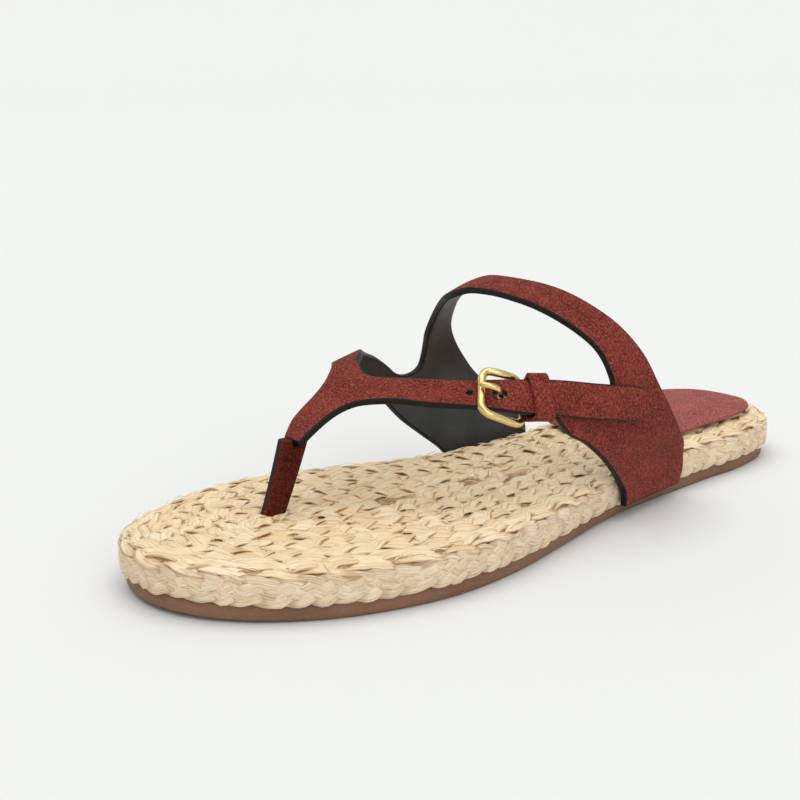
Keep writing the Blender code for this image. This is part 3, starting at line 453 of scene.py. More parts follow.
def plait_tree(name, strands):
    """Geometry nodes that lay a flat plait of some leaf strands along each curve."""
    tree = bpy.data.node_groups.new(name, "GeometryNodeTree")
    tree.interface.new_socket("Path", in_out="INPUT", socket_type="NodeSocketGeometry")
    for label in ("Step", "Reach", "Lift", "Stitch", "Strand Width", "Strand Thickness", "Lean",
                  "Looseness", "Roll", "Crumple"):
        tree.interface.new_socket(label, in_out="INPUT", socket_type="NodeSocketFloat")
    tree.interface.new_socket("Leaf", in_out="INPUT", socket_type="NodeSocketMaterial")
    tree.interface.new_socket("Plait", in_out="OUTPUT", socket_type="NodeSocketGeometry")
    entry = tree.nodes.new("NodeGroupInput")
    given = {socket.name: Thread(tree, socket) for socket in entry.outputs if socket.name}
    start = given["Path"]
    place = start.node("GeometryNodeInputPosition")

    def stored(geometry, label, value):
        """The geometry with a value kept on its points."""
        return start.node("GeometryNodeStoreNamedAttribute", {"data_type": "FLOAT", "domain": "POINT"},
                          {"Geometry": geometry, "Name": label, "Value": value})

    def read(label):
        """A value that was kept on the points."""
        return start.node("GeometryNodeInputNamedAttribute", {"data_type": "FLOAT"}, {"Name": label})

    def uneven(seed, scale, output=0):
        """Noise over the path that is unlike for each seed."""
        return start.node("ShaderNodeTexNoise", {"noise_dimensions": "4D"},
                          {"Vector": place, "W": seed, "Scale": scale, "Detail": 1.0}, output)

    path = start.node("GeometryNodeResampleCurve", {"mode": "LENGTH"},
                      {"Curve": start, "Length": given["Step"]})
    share = start.node("GeometryNodeSplineParameter", output="Factor")
    whole = start.node("GeometryNodeSplineLength", output="Length")
    run = (start.node("GeometryNodeSplineParameter", output="Length") - whole * 0.5).math("ABSOLUTE")
    up = start.xyz(z=1.0)
    inward = up.vector("CROSS_PRODUCT", start.node("GeometryNodeInputTangent")).vector("NORMALIZE")
    lean = given["Lean"]
    sideways = inward.scaled(lean.math("COSINE")).vector("ADD", up.scaled(lean.math("SINE")))
    outward = up.scaled(lean.math("COSINE")).vector("SUBTRACT", inward.scaled(lean.math("SINE")))
    rounds = (whole / given["Stitch"]).math("ROUND")
    turn = share * rounds * math.tau
    circle = start.node("GeometryNodeCurvePrimitiveCircle", {"mode": "RADIUS"},
                        {"Resolution": STRAND_SIDES, "Radius": 1.0})
    half_width = given["Strand Width"] * 0.5
    shape = start.xyz(given["Strand Thickness"] * 0.5, half_width, 1.0)
    leaf = start.node("GeometryNodeTransform", {}, {"Geometry": circle, "Scale": shape})
    breadth = start.node("ShaderNodeSeparateXYZ", {}, {"Vector": place}, "Y") / half_width
    leaf = stored(leaf, "across", breadth)
    joined = tree.nodes.new("GeometryNodeJoinGeometry")
    drift = place.noise(85.0)
    for k in range(strands):
        angle = turn + k * math.tau / strands + (drift - 0.5) * DRIFT
        swing = (angle.math("SINE") * TURN_ROUNDING).math("ARCSINE") / math.asin(TURN_ROUNDING)
        weave = (angle * (strands - 1)).math("SINE")
        sway = uneven(7.3 * k, 190.0, "Color").vector("SUBTRACT", (0.5, 0.5, 0.5))
        sway = sway.scaled(given["Looseness"])
        girth = uneven(3.1 * k + 40.0, 150.0) * GIRTH_RANGE + LEAST_GIRTH
        offset = sideways.scaled(swing * given["Reach"])
        offset = offset.vector("ADD", outward.scaled(weave * given["Lift"])).vector("ADD", sway)
        twist = (uneven(5.9 * k + 80.0, 160.0) - 0.5) * TWIST
        facing = outward.vector("ADD", sideways.scaled((swing + twist) * given["Roll"]))
        line = path
        # dip, how deep a strand lies in the weave, is what the leaf finish paints shade with.
        for label, value in (("run", run), ("strand", k + 1.0), ("dip", 0.5 - weave * 0.5),
                             ("girth", girth)):
            line = stored(line, label, value)
        line = start.node("GeometryNodeSetCurveNormal", {"mode": "FREE"}, {"Curve": line, "Normal": facing})
        line = start.node("GeometryNodeSetPosition", {}, {"Geometry": line, "Offset": offset})
        ribbon = start.node("GeometryNodeCurveToMesh", {}, {"Curve": line, "Profile Curve": leaf,
                                                            "Scale": read("girth"), "Fill Caps": True})
        tree.links.new(ribbon.socket, joined.inputs[0])
    plait = Thread(tree, joined.outputs[0])
    ridges = start.xyz(read("across") * 3.6, read("run") * 120.0, read("strand") * 4.7).noise(1.0)
    normal = start.node("GeometryNodeInputNormal")
    plait = start.node("GeometryNodeSetPosition", {},
                       {"Geometry": plait, "Offset": normal.scaled((ridges - 0.5) * given["Crumple"])})
    plait = start.node("GeometryNodeSetShadeSmooth", {}, {"Geometry": plait})
    plait = start.node("GeometryNodeRealizeInstances", {}, {"Geometry": plait})
    plait = start.node("GeometryNodeSetMaterial", {}, {"Geometry": plait, "Material": given["Leaf"]})
    leave = tree.nodes.new("NodeGroupOutput")
    tree.links.new(plait.socket, leave.inputs[0])
    return tree


def drawn_lines(name, lines, widths=1.0):
    """Paths as one curve object, each given as its points and whether it is closed."""
    curve = bpy.data.curves.new(name, "CURVE")
    curve.dimensions = "3D"
    for points, closed in lines:
        line = curve.splines.new("POLY")
        line.points.add(len(points) - 1)
        placed = np.column_stack([np.asarray(points) + OFF_CENTRE, np.ones(len(points))])
        line.points.foreach_set("co", placed.ravel())
        line.points.foreach_set("radius", np.ones(len(points)) * widths)
        line.use_cyclic_u = closed
    return added(name + "_line", curve)


def final_mesh(drawn):
    """The mesh that an object ends up as. The object itself is removed."""
    bpy.context.view_layer.update()
    mesh = bpy.data.meshes.new_from_object(drawn.evaluated_get(bpy.context.evaluated_depsgraph_get()))
    bpy.data.objects.remove(drawn)
    mesh.materials.clear()
    return mesh


def plaited(name, tree, lines, leaf, **sizes):
    """The plait's mesh along some paths, each given as its points and whether it is closed."""
    path = drawn_lines(name, lines)
    modifier = path.modifiers.new("plait", "NODES")
    modifier.node_group = tree
    named = {item.name: item.identifier for item in tree.interface.items_tree if item.in_out == "INPUT"}
    for label, value in sizes.items():
        modifier[named[label.replace("_", " ")]] = value
    modifier[named["Leaf"]] = leaf
    mesh = final_mesh(path)
    mesh.materials.append(leaf)
    return added(name, mesh)


# The last colour of each leaf finish is the colour of the fibre lines and also the painted shade in dips
# and at strand edges; it is lighter on the side band.
side_leaf = leaf_finish("pale_side_leaf", (0.960, 0.790, 0.580, 1.0), (0.890, 0.690, 0.470, 1.0),
                        (0.760, 0.540, 0.320, 1.0), (0.520, 0.330, 0.170, 1.0))
side_path = ring_at(BAND_INSET, OUTSOLE_HEIGHT + 0.5 * SIDE_BRAID_HEIGHT + BAND_RISE)
side_band = plaited("side_band", plait_tree("side_plait", 5), [(side_path, True)], side_leaf,
                    Step=0.0012, Reach=0.0027, Lift=0.00026, Stitch=0.0330, Strand_Width=0.0036,
                    Strand_Thickness=0.0006, Lean=math.pi / 2, Looseness=0.0004, Roll=0.06, Crumple=0.00022)
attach(side_band, "root")
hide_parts("midsole_braid")


# Footbed: flat plaits of three broad leaf strands, sewn round and round inside the outline.
# The outer coil leans out over the shoulder, and a straight run fills the middle of waist and heel.
COIL_WIDTH = 0.0080
COIL_INSET = 0.0009
COIL_HEIGHT = FOOTBED_TOP - 0.0013
COIL_STEP = 0.0010
OUTLINE_STEP = 0.0020
KNOT_GAP = 0.0040
WAIST = -0.004
MIDDLE_UNTIL = 0.105
SHOULDER_LEAN = math.radians(15)
SHOULDER_INSET = 0.0042
SHOULDER_DROP = 0.0008

top_leaf = leaf_finish("straw_footbed_leaf", (0.960, 0.790, 0.540, 1.0), (0.900, 0.690, 0.430, 1.0),
                       (0.740, 0.500, 0.260, 1.0), (0.380, 0.215, 0.085, 1.0))
outline = sole_outline(0.0, OUTLINE_STEP)
coils = []
inset = COIL_INSET + 1.5 * COIL_WIDTH
while inset < BALL_WIDTH / 2:
    ring = sole_outline(inset, OUTLINE_STEP)
    ring = ring[distance_to(outline, ring) > inset - 0.0002]
    if inset > 3 * COIL_WIDTH:
        ring = ring[ring[:, 1] < WAIST]
    if len(ring) < 6:
        break
    kept = [ring[0]]
    for point in ring[1:]:
        if np.linalg.norm(point - kept[-1]) > KNOT_GAP:
            kept.append(point)
    if np.linalg.norm(kept[-1] - kept[0]) < 0.75 * KNOT_GAP:
        kept.pop()
    coils.append((follow(np.array(kept), COIL_STEP, closed=True), True))
    inset += COIL_WIDTH
middles = [(outline[np.abs(outline[:, 1] - y) < OUTLINE_STEP, 0].mean(), y)
           for y in np.arange(WAIST - COIL_WIDTH, MIDDLE_UNTIL, KNOT_GAP)]
coils.append((np.array(middles), False))
lifted = [(np.column_stack([loop, COIL_HEIGHT + spring(loop[:, 1] / LENGTH + 0.5)]), closed)
          for loop, closed in coils]
three_plait = plait_tree("footbed_plait", 3)
sizes = dict(Step=0.0011, Lift=0.00055, Strand_Thickness=0.0009, Looseness=0.0012, Crumple=0.0010)
footbed = plaited("footbed_plaits", three_plait, lifted, top_leaf, Lean=0.0, Reach=0.0023, Stitch=0.0230,
                  Strand_Width=0.0064, Roll=0.30, **sizes)
shoulder_path = ring_at(COIL_INSET + SHOULDER_INSET, COIL_HEIGHT - SHOULDER_DROP)
shoulder = plaited("shoulder_plait", three_plait, [(shoulder_path, True)], top_leaf, Lean=SHOULDER_LEAN,
                   Reach=0.0019, Stitch=0.0360, Strand_Width=0.0062, Roll=0.20, **sizes)
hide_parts("footbed_coils")
for piece in (footbed, shoulder):
    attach(piece, "root")


# Loose fibres: thin shreds of dry leaf that have worked out of the plaits round the edge and on top.
# They lie almost flat, each bent a little, with one end still caught.
EDGE_SHREDS = 110
TOP_SHREDS = 130
SHRED_LENGTHS = (0.0030, 0.0065)
SHRED_WIDTHS = (0.00018, 0.00045)


def inside(path, points):
    """Which points lie inside a closed path."""
    x, y = points[:, :1], points[:, 1:2]
    x1, y1 = path[:, 0], path[:, 1]
    x2, y2 = np.roll(x1, -1), np.roll(y1, -1)
    crosses = (y1 > y) != (y2 > y)
    with np.errstate(divide="ignore", invalid="ignore"):
        at = x1 + (y - y1) * (x2 - x1) / (y2 - y1)
    return (crosses & (x < at)).sum(1) % 2 == 1


chance = np.random.default_rng(11)
edge = ring_at(0.0030, FOOTBED_TOP - 0.0014)
inner = sole_outline(0.010)
spots = [(edge[k], edge[(k + 3) % len(edge)] - edge[k]) for k in chance.integers(0, len(edge), EDGE_SHREDS)]
while len(spots) < EDGE_SHREDS + TOP_SHREDS:
    place = np.array([[chance.uniform(-0.045, 0.045), chance.uniform(-0.12, 0.035)]])
    if inside(inner, place)[0]:
        height = FOOTBED_TOP - 0.0004 + spring(place[0, 1] / LENGTH + 0.5)
        spots.append((np.array([*place[0], height]), np.array([place[0, 0], place[0, 1] + 0.06, 0.0])))
verts, faces = [], []
for place, heading in spots:
    turn = math.atan2(heading[1], heading[0]) + chance.normal(0.0, 0.30) + math.pi * chance.integers(0, 2)
    ahead = np.array([math.cos(turn), math.sin(turn), 0.0])
    beside = np.array([-ahead[1], ahead[0], 0.0])
    length = chance.uniform(*SHRED_LENGTHS)
    width = chance.uniform(*SHRED_WIDTHS)
    bend = chance.normal(0.0, 0.0009)
    rise = chance.uniform(0.0, 0.0004)
    first = len(verts)
    for t in np.linspace(0, 1, 6):
        middle = place + ahead * (t - 0.5) * length + beside * bend * t * t
        middle[2] += rise * t - 0.0006 * (1 - t) ** 2
        slim = width * (1.0 - 0.75 * t)
        crest = middle + np.array([0.0, 0.0, 0.5 * slim + 0.00006])
        verts += [middle - beside * slim, middle + beside * slim, crest]
    for level in range(5):
        a = first + 3 * level
        faces += [(a + k, a + (k + 1) % 3, a + 3 + (k + 1) % 3, a + 3 + k) for k in range(3)]
    faces += [(first + 2, first + 1, first), (first + 15, first + 16, first + 17)]
fibres = shaped("loose_fibres", np.array(verts), faces, [side_leaf], sharp=180)
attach(fibres, "root")


# Heel pad: a thin cushion of burgundy suede over a filling, glued on the plaits and rolled at its edge.
# It is crowned and slightly uneven where the filling has settled. Its suede is paler than the straps',
# partly its own tone and partly painted light for its top face under the lamp.
PLAIT_RELIEF = 0.00035
PAD_BASE = FOOTBED_TOP + PLAIT_RELIEF + CLEARANCE
PAD_THICKNESS = 0.0015
PAD_CROWN = 0.0007
PAD_RIM = 0.0072
PAD_DOME = 0.012
PAD_FROM = 0.684
PAD_FRONT_BOW = 0.003
PAD_STEP = 0.0018
ROW_SHARE = 0.866
EDGE_GAP = 0.62
HOLE_GAP = 0.45
PAD_WALL = ((0.0010, 0.0), (0.0004, 0.08), (0.0001, 0.24), (0.0, 0.42), (0.0002, 0.62), (0.0007, 0.82),
            (0.0014, 0.95), (0.0022, 1.0))


def fill_pattern(loop, step, holes=()):
    """Triangles over a flat pattern: its cut edge, its holes and an even lattice inside."""
    low, high = loop.min(0), loop.max(0)
    rows = int((high[1] - low[1]) / (step * ROW_SHARE)) + 1
    cols = int((high[0] - low[0]) / step) + 2
    j, i = np.meshgrid(np.arange(rows), np.arange(cols), indexing="ij")
    lattice = np.column_stack([(low[0] + (i + 0.5 * (j % 2)) * step).ravel(),
                               (low[1] + j * step * ROW_SHARE).ravel()])
    keep = inside(loop, lattice) & (distance_to(loop, lattice) > EDGE_GAP * step)
    for hole in holes:
        keep &= ~inside(hole, lattice) & (distance_to(hole, lattice) > HOLE_GAP * step)
    loops = [loop, *holes]
    points = np.vstack([*loops, lattice[keep]])
    edges, start = [], 0
    for ring in loops:
        count = len(ring)
        edges += [(start + k, start + (k + 1) % count) for k in range(count)]
        start += count
    verts, _, faces, *_ = delaunay_2d_cdt([tuple(p) for p in points], edges, [], 1, 1e-8)
    verts = np.array([tuple(v) for v in verts])
    faces = [f for f in faces if len(f) == 3]
    middles = np.array([verts[list(f)].mean(0) for f in faces])
    good = inside(loop, middles)
    for hole in holes:
        good &= ~inside(hole, middles)
    return verts, [f for f, ok in zip(faces, good) if ok]


def suede_finish(name, deep, lit, tip):
    """Suede: a short mottled nap that lies this way and that, paler at its tips."""
    finish, start, place = new_finish(name)
    nap = place.noise(1900.0, 2.0, 0.65)
    tufts = place.vector("ADD", (0.31, 0.17, 0.23)).noise(1450.0, 3.0, 0.7)
    brushed = place.noise(110.0, 3.0, 0.6)
    shade = tuple(0.30 * c for c in deep[:3]) + (1.0,)
    hide = brushed.between(0.30, 0.68).mix(deep, lit)
    hide = (nap.between(0.47, 0.66) * 0.75).mix(hide, tip)
    hide = (tufts.between(0.47, 0.66) * 0.80).mix(hide, shade)
    shader = {"Specular IOR Level": 0.12, "Roughness": 0.95, "Sheen Weight": 0.10,
              "Sheen Roughness": 0.4, "Sheen Tint": (1.0, 0.55, 0.45, 1.0)}
    close_finish(start, shader, ((tufts, 0.0004), (nap, 0.00025)), Base_Color=hide)
    return finish


# Paler colours than the straps' suede: partly the pad's own tone, partly painted light for its upward face.
pad_suede = suede_finish("pad_suede", (0.270, 0.066, 0.056, 1.0), (0.390, 0.100, 0.086, 1.0),
                         (0.560, 0.210, 0.180, 1.0))
rim_path = sole_outline(PAD_RIM)
front = (PAD_FROM - 0.5) * LENGTH
loop = rim_path[rim_path[:, 1] > front]
split = int(np.argmax(np.linalg.norm(np.roll(loop, -1, axis=0) - loop, axis=1))) + 1
loop = np.roll(loop, -split, axis=0)[::3]
width = loop[0][0] - loop[-1][0]
bow = [(loop[-1][0] + share * width, front - PAD_FRONT_BOW * math.sin(math.pi * share))
       for share in np.linspace(0, 1, 12)[1:-1]]
loop = follow(np.vstack([loop, bow]), PAD_STEP, closed=True)
count = len(loop)
body = [np.column_stack([inset_loop(loop, inset), np.full(count, PAD_BASE + share * PAD_THICKNESS)])
        for inset, share in PAD_WALL]
rim = body[-1][:, :2]
inner, top_faces = fill_pattern(rim, PAD_STEP)
depth = distance_to(rim, inner)
settled = (0.10 * np.sin(inner[:, 0] * 260 + 1.3) * np.sin(inner[:, 1] * 190)
           + 0.07 * np.sin(inner[:, 1] * 430 + inner[:, 0] * 120))
rise = PAD_CROWN * np.clip(depth / PAD_DOME, 0, 1) ** 0.6 * (1 + settled)
verts = np.vstack([*body, np.column_stack([inner, PAD_BASE + PAD_THICKNESS + rise])])
faces = [tuple(np.array(f) + len(body) * count) for f in top_faces]
for level in range(len(body) - 1):
    faces += wall_between(count, level * count, (level + 1) * count)
faces.append(tuple(range(count))[::-1])
pad = shaped("heel_cushion", verts, faces, [pad_suede], sharp=180)
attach(pad, "root")
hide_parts("heel_pad")


# Upper: one pattern of suede bonded to black lining, bent over the last, with black painted edges.
# It has the quarters, the high instep strap, the long inner branch, the front strap and the strap
# that is buckled over the outer tab.
INSTEP_HEIGHT = 0.059
WALL = 0.0022
STRAP_WIDTH = 0.0100
LAYER_GAP = 0.0004
HALF_GIRTH = 0.100
BELLY_GIRTH = 0.70
LEATHER_STEP = 0.0020
CUT_STEP = 0.0011
ROUNDED_EDGE = 0.00045

# Last: half widths and crown place in ball widths, heights above the footbed in instep heights,
# and how square each side of the arch is (2 is an ellipse)
LAST = np.array([
    (0.18, 0.370, -0.380, -0.090, 0.255, 0.100, 2.00, 2.00),
    (0.22, 0.380, -0.400, -0.105, 0.372, 0.130, 1.90, 2.00),
    (0.26, 0.385, -0.415, -0.125, 0.482, 0.170, 1.70, 2.00),
    (0.30, 0.385, -0.420, -0.140, 0.583, 0.220, 1.50, 2.00),
    (0.34, 0.375, -0.420, -0.135, 0.645, 0.260, 1.50, 1.90),
    (0.38, 0.370, -0.415, -0.110, 0.705, 0.290, 1.65, 1.80),
    (0.42, 0.375, -0.410, -0.080, 0.785, 0.315, 1.85, 1.68),
    (0.46, 0.385, -0.402, -0.050, 0.900, 0.335, 1.95, 1.60),
    (0.50, 0.395, -0.395, -0.025, 0.978, 0.340, 2.03, 1.64),
    (0.54, 0.402, -0.395, -0.015, 1.000, 0.340, 2.08, 1.82),
    (0.60, 0.410, -0.395, -0.010, 1.040, 0.340, 2.10, 1.98),
    (0.68, 0.425, -0.395, -0.010, 1.090, 0.340, 2.10, 2.00),
    (0.76, 0.435, -0.395, -0.010, 1.130, 0.340, 2.10, 2.00),
], dtype=[("along", float), ("outer", float), ("inner", float), ("crown", float), ("height", float),
          ("belly", float), ("outer_square", float), ("inner_square", float)])

# Cut edges of the pattern on the last, in (along, girth) shares, one row for each bend
TAB_LOWER = ((0.592, 1.000), (0.592, 0.963), (0.577, 0.911), (0.554, 0.854), (0.527, 0.796),
             (0.504, 0.754), (0.488, 0.733), (0.4750, 0.700))
TAB_UPPER = ((0.508, 0.634), (0.532, 0.652), (0.551, 0.636), (0.5586, 0.595), (0.5569, 0.553),
             (0.5497, 0.473), (0.5339, 0.391), (0.5190, 0.321), (0.5050, 0.247), (0.4940, 0.175),
             (0.4860, 0.090), (0.4800, 0.000), (0.4775, -0.085), (0.4820, -0.160),
             (0.4920, -0.248), (0.5000, -0.330), (0.5065, -0.414), (0.5115, -0.500),
             (0.5165, -0.560), (0.5178, -0.610), (0.5150, -0.646), (0.5053, -0.664),
             (0.4955, -0.668), (0.4842, -0.662), (0.4737, -0.641), (0.4594, -0.594),
             (0.4474, -0.551), (0.4286, -0.474), (0.4045, -0.373), (0.3780, -0.230),
             (0.3544, -0.092), (0.3425, -0.038), (0.3291, 0.025), (0.3214, 0.065),
             (0.3211, 0.084), (0.3242, 0.104))
FRONT_OUTER = ((0.2969, 0.186), (0.2765, 0.125), (0.2611, 0.098), (0.2445, 0.082),
               (0.2285, 0.072), (0.2186, 0.067), (0.2120, 0.064))
FRONT_INNER = ((0.2120, -0.004), (0.2191, -0.018), (0.2335, -0.039), (0.2489, -0.036),
               (0.2627, -0.027), (0.2798, -0.022), (0.2903, -0.031), (0.3008, -0.056),
               (0.3112, -0.090), (0.3250, -0.160), (0.3440, -0.275), (0.3685, -0.405),
               (0.3926, -0.520), (0.4234, -0.640), (0.4574, -0.750), (0.4749, -0.811),
               (0.4958, -0.862), (0.5230, -0.925), (0.5340, -0.965), (0.5380, -1.000))
INNER_REAR = ((0.6620, -1.000), (0.6700, -0.950), (0.6720, -0.900), (0.6560, -0.820),
              (0.6215, -0.738), (0.5995, -0.663), (0.5765, -0.581), (0.5555, -0.486),
              (0.5400, -0.368), (0.5280, -0.270), (0.5225, -0.176), (0.5215, -0.080),
              (0.5235, 0.015), (0.5310, 0.080), (0.5390, 0.125), (0.5545, 0.210),
              (0.5724, 0.308), (0.5954, 0.415), (0.6176, 0.531), (0.6349, 0.637),
              (0.6568, 0.726), (0.6890, 0.809), (0.7180, 0.880), (0.7226, 0.940),
              (0.7143, 1.000))

# Middle line of the buckled strap on the last, and what stands where along it, in shares of its length
STRAP_LINE = ((0.3290, 0.2100), (0.3505, 0.2910), (0.3718, 0.3720), (0.3883, 0.4290), (0.4030, 0.4710),
              (0.4210, 0.5130), (0.4533, 0.5690), (0.4996, 0.6180), (0.5543, 0.6530), (0.6090, 0.6850))
STRAP_STEPS = 400
STRAP_POINT = 0.0085
LIFT_FROM = 0.10
LIFT_TO = 0.40
AWL_AT = 0.242
FRONT_BAR_AT = 0.282
SLOT_AT = 0.345
REAR_BAR_AT = 0.432
AWL_HOLE = 0.0014
PRONG_SLOT = 0.0036
PRONG = 0.0018
WIRE = 0.0024
TAB_MARGIN = 0.0006
TAB_OVERRUN = 0.0020
KEEPER_LENGTH = 0.0056


def last_section(along):
    """The last's table read at the given shares of the length."""
    names = LAST.dtype.names[1:]
    read = smooth(LAST["along"], np.column_stack([LAST[n] for n in names]), along)
    return {name: read[..., k] for k, name in enumerate(names)}


def last(along, girth):
    """Points of the upper's outer face, in metres."""
    along, girth = np.broadcast_arrays(np.asarray(along, float), np.asarray(girth, float))
    row = last_section(along)
    outer_side = girth >= 0
    edge = np.where(outer_side, smooth(OUTLINE["along"], OUTLINE["outer"], along),
                    smooth(OUTLINE["along"], OUTLINE["inner"], along)) * BALL_WIDTH
    edge = edge + np.where(outer_side, 1, -1) * (WALL + CLEARANCE)
    belly = np.where(outer_side, row["outer"], row["inner"]) * BALL_WIDTH
    crown = row["crown"] * BALL_WIDTH
    top = FOOTBED_TOP + row["height"] * INSTEP_HEIGHT
    belly_z = FOOTBED_TOP + row["belly"] * INSTEP_HEIGHT
    rise = 1 - np.abs(girth)
    low = np.clip(rise / (1 - BELLY_GIRTH), 0, 1)
    z_low = OUTSOLE_HEIGHT + CLEARANCE + (belly_z - OUTSOLE_HEIGHT - CLEARANCE) * low
    out = np.clip((z_low - MIDSOLE_TOP) / (belly_z - MIDSOLE_TOP), 0, 1)
    x_low = edge + (belly - edge) * out * out * (3 - 2 * out)
    turn = np.clip((rise - (1 - BELLY_GIRTH)) / BELLY_GIRTH, 0, 1) * math.pi / 2
    square = np.where(outer_side, row["outer_square"], row["inner_square"])
    reach = (np.abs(np.cos(turn)) ** square + np.abs(np.sin(turn)) ** square) ** (-1 / square)
    x_high = crown + (belly - crown) * np.cos(turn) * reach
    z_high = belly_z + (top - belly_z) * np.sin(turn) * reach
    high = rise > 1 - BELLY_GIRTH
    return np.stack([np.where(high, x_high, x_low), (along - 0.5) * LENGTH,
                     np.where(high, z_high, z_low)], axis=-1)


def last_slopes(along, girth):
    """How the last's points move with along and with girth."""
    d = 0.004
    by_along = (last(along + d, girth) - last(along - d, girth)) / (2 * d)
    low, high = np.maximum(girth - d, -1), np.minimum(girth + d, 1)
    by_girth = (last(along, high) - last(along, low)) / (high - low)[..., None]
    return by_along, by_girth


def last_normal(along, girth):
    """The direction that points out of the last."""
    by_along, by_girth = last_slopes(along, girth)
    normal = np.cross(by_girth, by_along)
    return normal / np.linalg.norm(normal, axis=-1)[..., None]


def on_last(along, girth, height=0.0):
    """Points at a height over the upper's outer face."""
    along, girth = np.broadcast_arrays(np.asarray(along, float), np.asarray(girth, float))
    return last(along, girth) + last_normal(along, girth) * np.asarray(height, float)[..., None]


strap_line = smooth(np.linspace(0, 1, len(STRAP_LINE)), STRAP_LINE, np.linspace(0, 1, STRAP_STEPS))
strap_points = last(strap_line[:, 0], strap_line[:, 1])
strap_run = np.r_[0, np.cumsum(np.linalg.norm(np.diff(strap_points, axis=0), axis=1))]
strap_length = strap_run[-1]


def strap_middle(share):
    """(along, girth) on the strap's middle line at a share of its length."""
    at = np.asarray(share, float) * strap_length
    return np.stack([np.interp(at, strap_run, strap_line[:, k]) for k in (0, 1)], axis=-1)


def strap_place(share, across):
    """(along, girth) of a point of the buckled strap: share of its length, metres across it."""
    share, across = np.broadcast_arrays(np.asarray(share, float), np.asarray(across, float))
    middle = strap_middle(share)
    step = 0.02
    ahead = strap_middle(np.clip(share + step, 0, 1)) - strap_middle(np.clip(share - step, 0, 1))
    by_along, by_girth = last_slopes(middle[..., 0], middle[..., 1])
    forward = by_along * ahead[..., :1] + by_girth * ahead[..., 1:]
    forward /= np.linalg.norm(forward, axis=-1)[..., None]
    side = np.cross(last_normal(middle[..., 0], middle[..., 1]), forward)
    aa, gg = (by_along ** 2).sum(-1), (by_girth ** 2).sum(-1)
    ag = (by_along * by_girth).sum(-1)
    sa, sg = (side * by_along).sum(-1), (side * by_girth).sum(-1)
    det = aa * gg - ag * ag
    move = np.stack([(sa * gg - sg * ag) / det, (sg * aa - sa * ag) / det], axis=-1)
    return middle + move * across[..., None]


def strap_lift(share):
    """How far the buckled strap is lifted off the last, to lie over the tab and the quarter."""
    t = np.clip((np.asarray(share, float) - LIFT_FROM) / (LIFT_TO - LIFT_FROM), 0, 1)
    return (WALL + LAYER_GAP) * t * t * (3 - 2 * t)


def by_strap(share, across, height):
    """A point by share along the strap, metres across it, and height over the upper's outer face."""
    place = strap_place(share, across)
    return on_last(place[..., 0], place[..., 1], height)


def flat(rows):
    """(along, girth) shares laid out flat in metres."""
    return np.asarray(rows, float) * (LENGTH, HALF_GIRTH)


def strap_hole(share, long, wide):
    """A hole in the strap, flat."""
    turns = np.radians(np.arange(0, 360, 22.5) + 11.25)
    return flat(strap_place(share + 0.5 * long / strap_length * np.cos(turns), 0.5 * wide * np.sin(turns)))


def round_edges(made, width, finish=-1):
    """Rounds the sharp edges of an object, in a finish of their own if one is given."""
    rounding = made.modifiers.new("rounding", "BEVEL")
    rounding.width = width
    rounding.segments = 3
    rounding.material = finish
    rounding.limit_method = "ANGLE"
    rounding.angle_limit = math.radians(50)


keeper_start = REAR_BAR_AT + (WIRE / 2 + LAYER_GAP) / strap_length
keeper_end = keeper_start + KEEPER_LENGTH / strap_length
half = STRAP_WIDTH / 2
strap_root = flat(strap_place(0.0, np.linspace(half, -half, 9)[:-1]))

# The main pattern, from the lower end of the strap's root
tab_start = REAR_BAR_AT + (WIRE / 2 + CLEARANCE) / strap_length
tab = np.linspace(tab_start, keeper_end + TAB_OVERRUN / strap_length, 4)
tab_upper = strap_place(tab, half - TAB_MARGIN)
tab_lower = strap_place(tab[::-1], TAB_MARGIN - half)
root_upper, root_lower = strap_place(0.0, half), strap_place(0.0, -half)
cuts = ([root_lower, *FRONT_OUTER], [FRONT_OUTER[-1], FRONT_INNER[0]],
        FRONT_INNER, [FRONT_INNER[-1], INNER_REAR[0]],
        INNER_REAR, [INNER_REAR[-1], TAB_LOWER[0]],
        [*TAB_LOWER, *tab_lower], [tab_lower[-1], tab_upper[0]],
        [*tab_upper, *TAB_UPPER, root_upper])
main_loop = np.vstack([*(follow(flat(cut), CUT_STEP)[:-1] for cut in cuts), strap_root])
main_flat, main_faces = fill_pattern(main_loop, LEATHER_STEP)
main_points = on_last(main_flat[:, 0] / LENGTH, main_flat[:, 1] / HALF_GIRTH, np.zeros(len(main_flat)))

# The buckled strap, from the lower end of its root round its point
count = round(strap_length / CUT_STEP)
straight = np.linspace(0, 1 - STRAP_POINT / strap_length, count)[1:]
turns = np.radians([8, 17, 26, 36, 46, 56, 66, 76, 84])
point_shares = 1 - STRAP_POINT / strap_length * (1 - np.sin(turns))
curve = half * np.cos(turns) ** 0.8
strap_loop = np.vstack([flat(strap_place([0.0], [-half])), flat(strap_place(straight, -half)),
                        flat(strap_place(point_shares, -curve)), flat([strap_place(1.0, 0.0)]),
                        flat(strap_place(point_shares[::-1], curve[::-1])),
                        flat(strap_place(straight[::-1], half)), strap_root])
holes = [strap_hole(AWL_AT, AWL_HOLE, AWL_HOLE), strap_hole(SLOT_AT, PRONG_SLOT, PRONG + 3 * CLEARANCE)]
strap_flat, strap_faces = fill_pattern(strap_loop, LEATHER_STEP, holes)
middle = flat(strap_middle(np.linspace(0, 1, STRAP_STEPS)))
near = ((middle[None] - strap_flat[:, None]) ** 2).sum(2).argmin(1) / (STRAP_STEPS - 1)
shares = strap_flat / (LENGTH, HALF_GIRTH)
strap_verts = on_last(shares[:, 0], shares[:, 1], strap_lift(near))

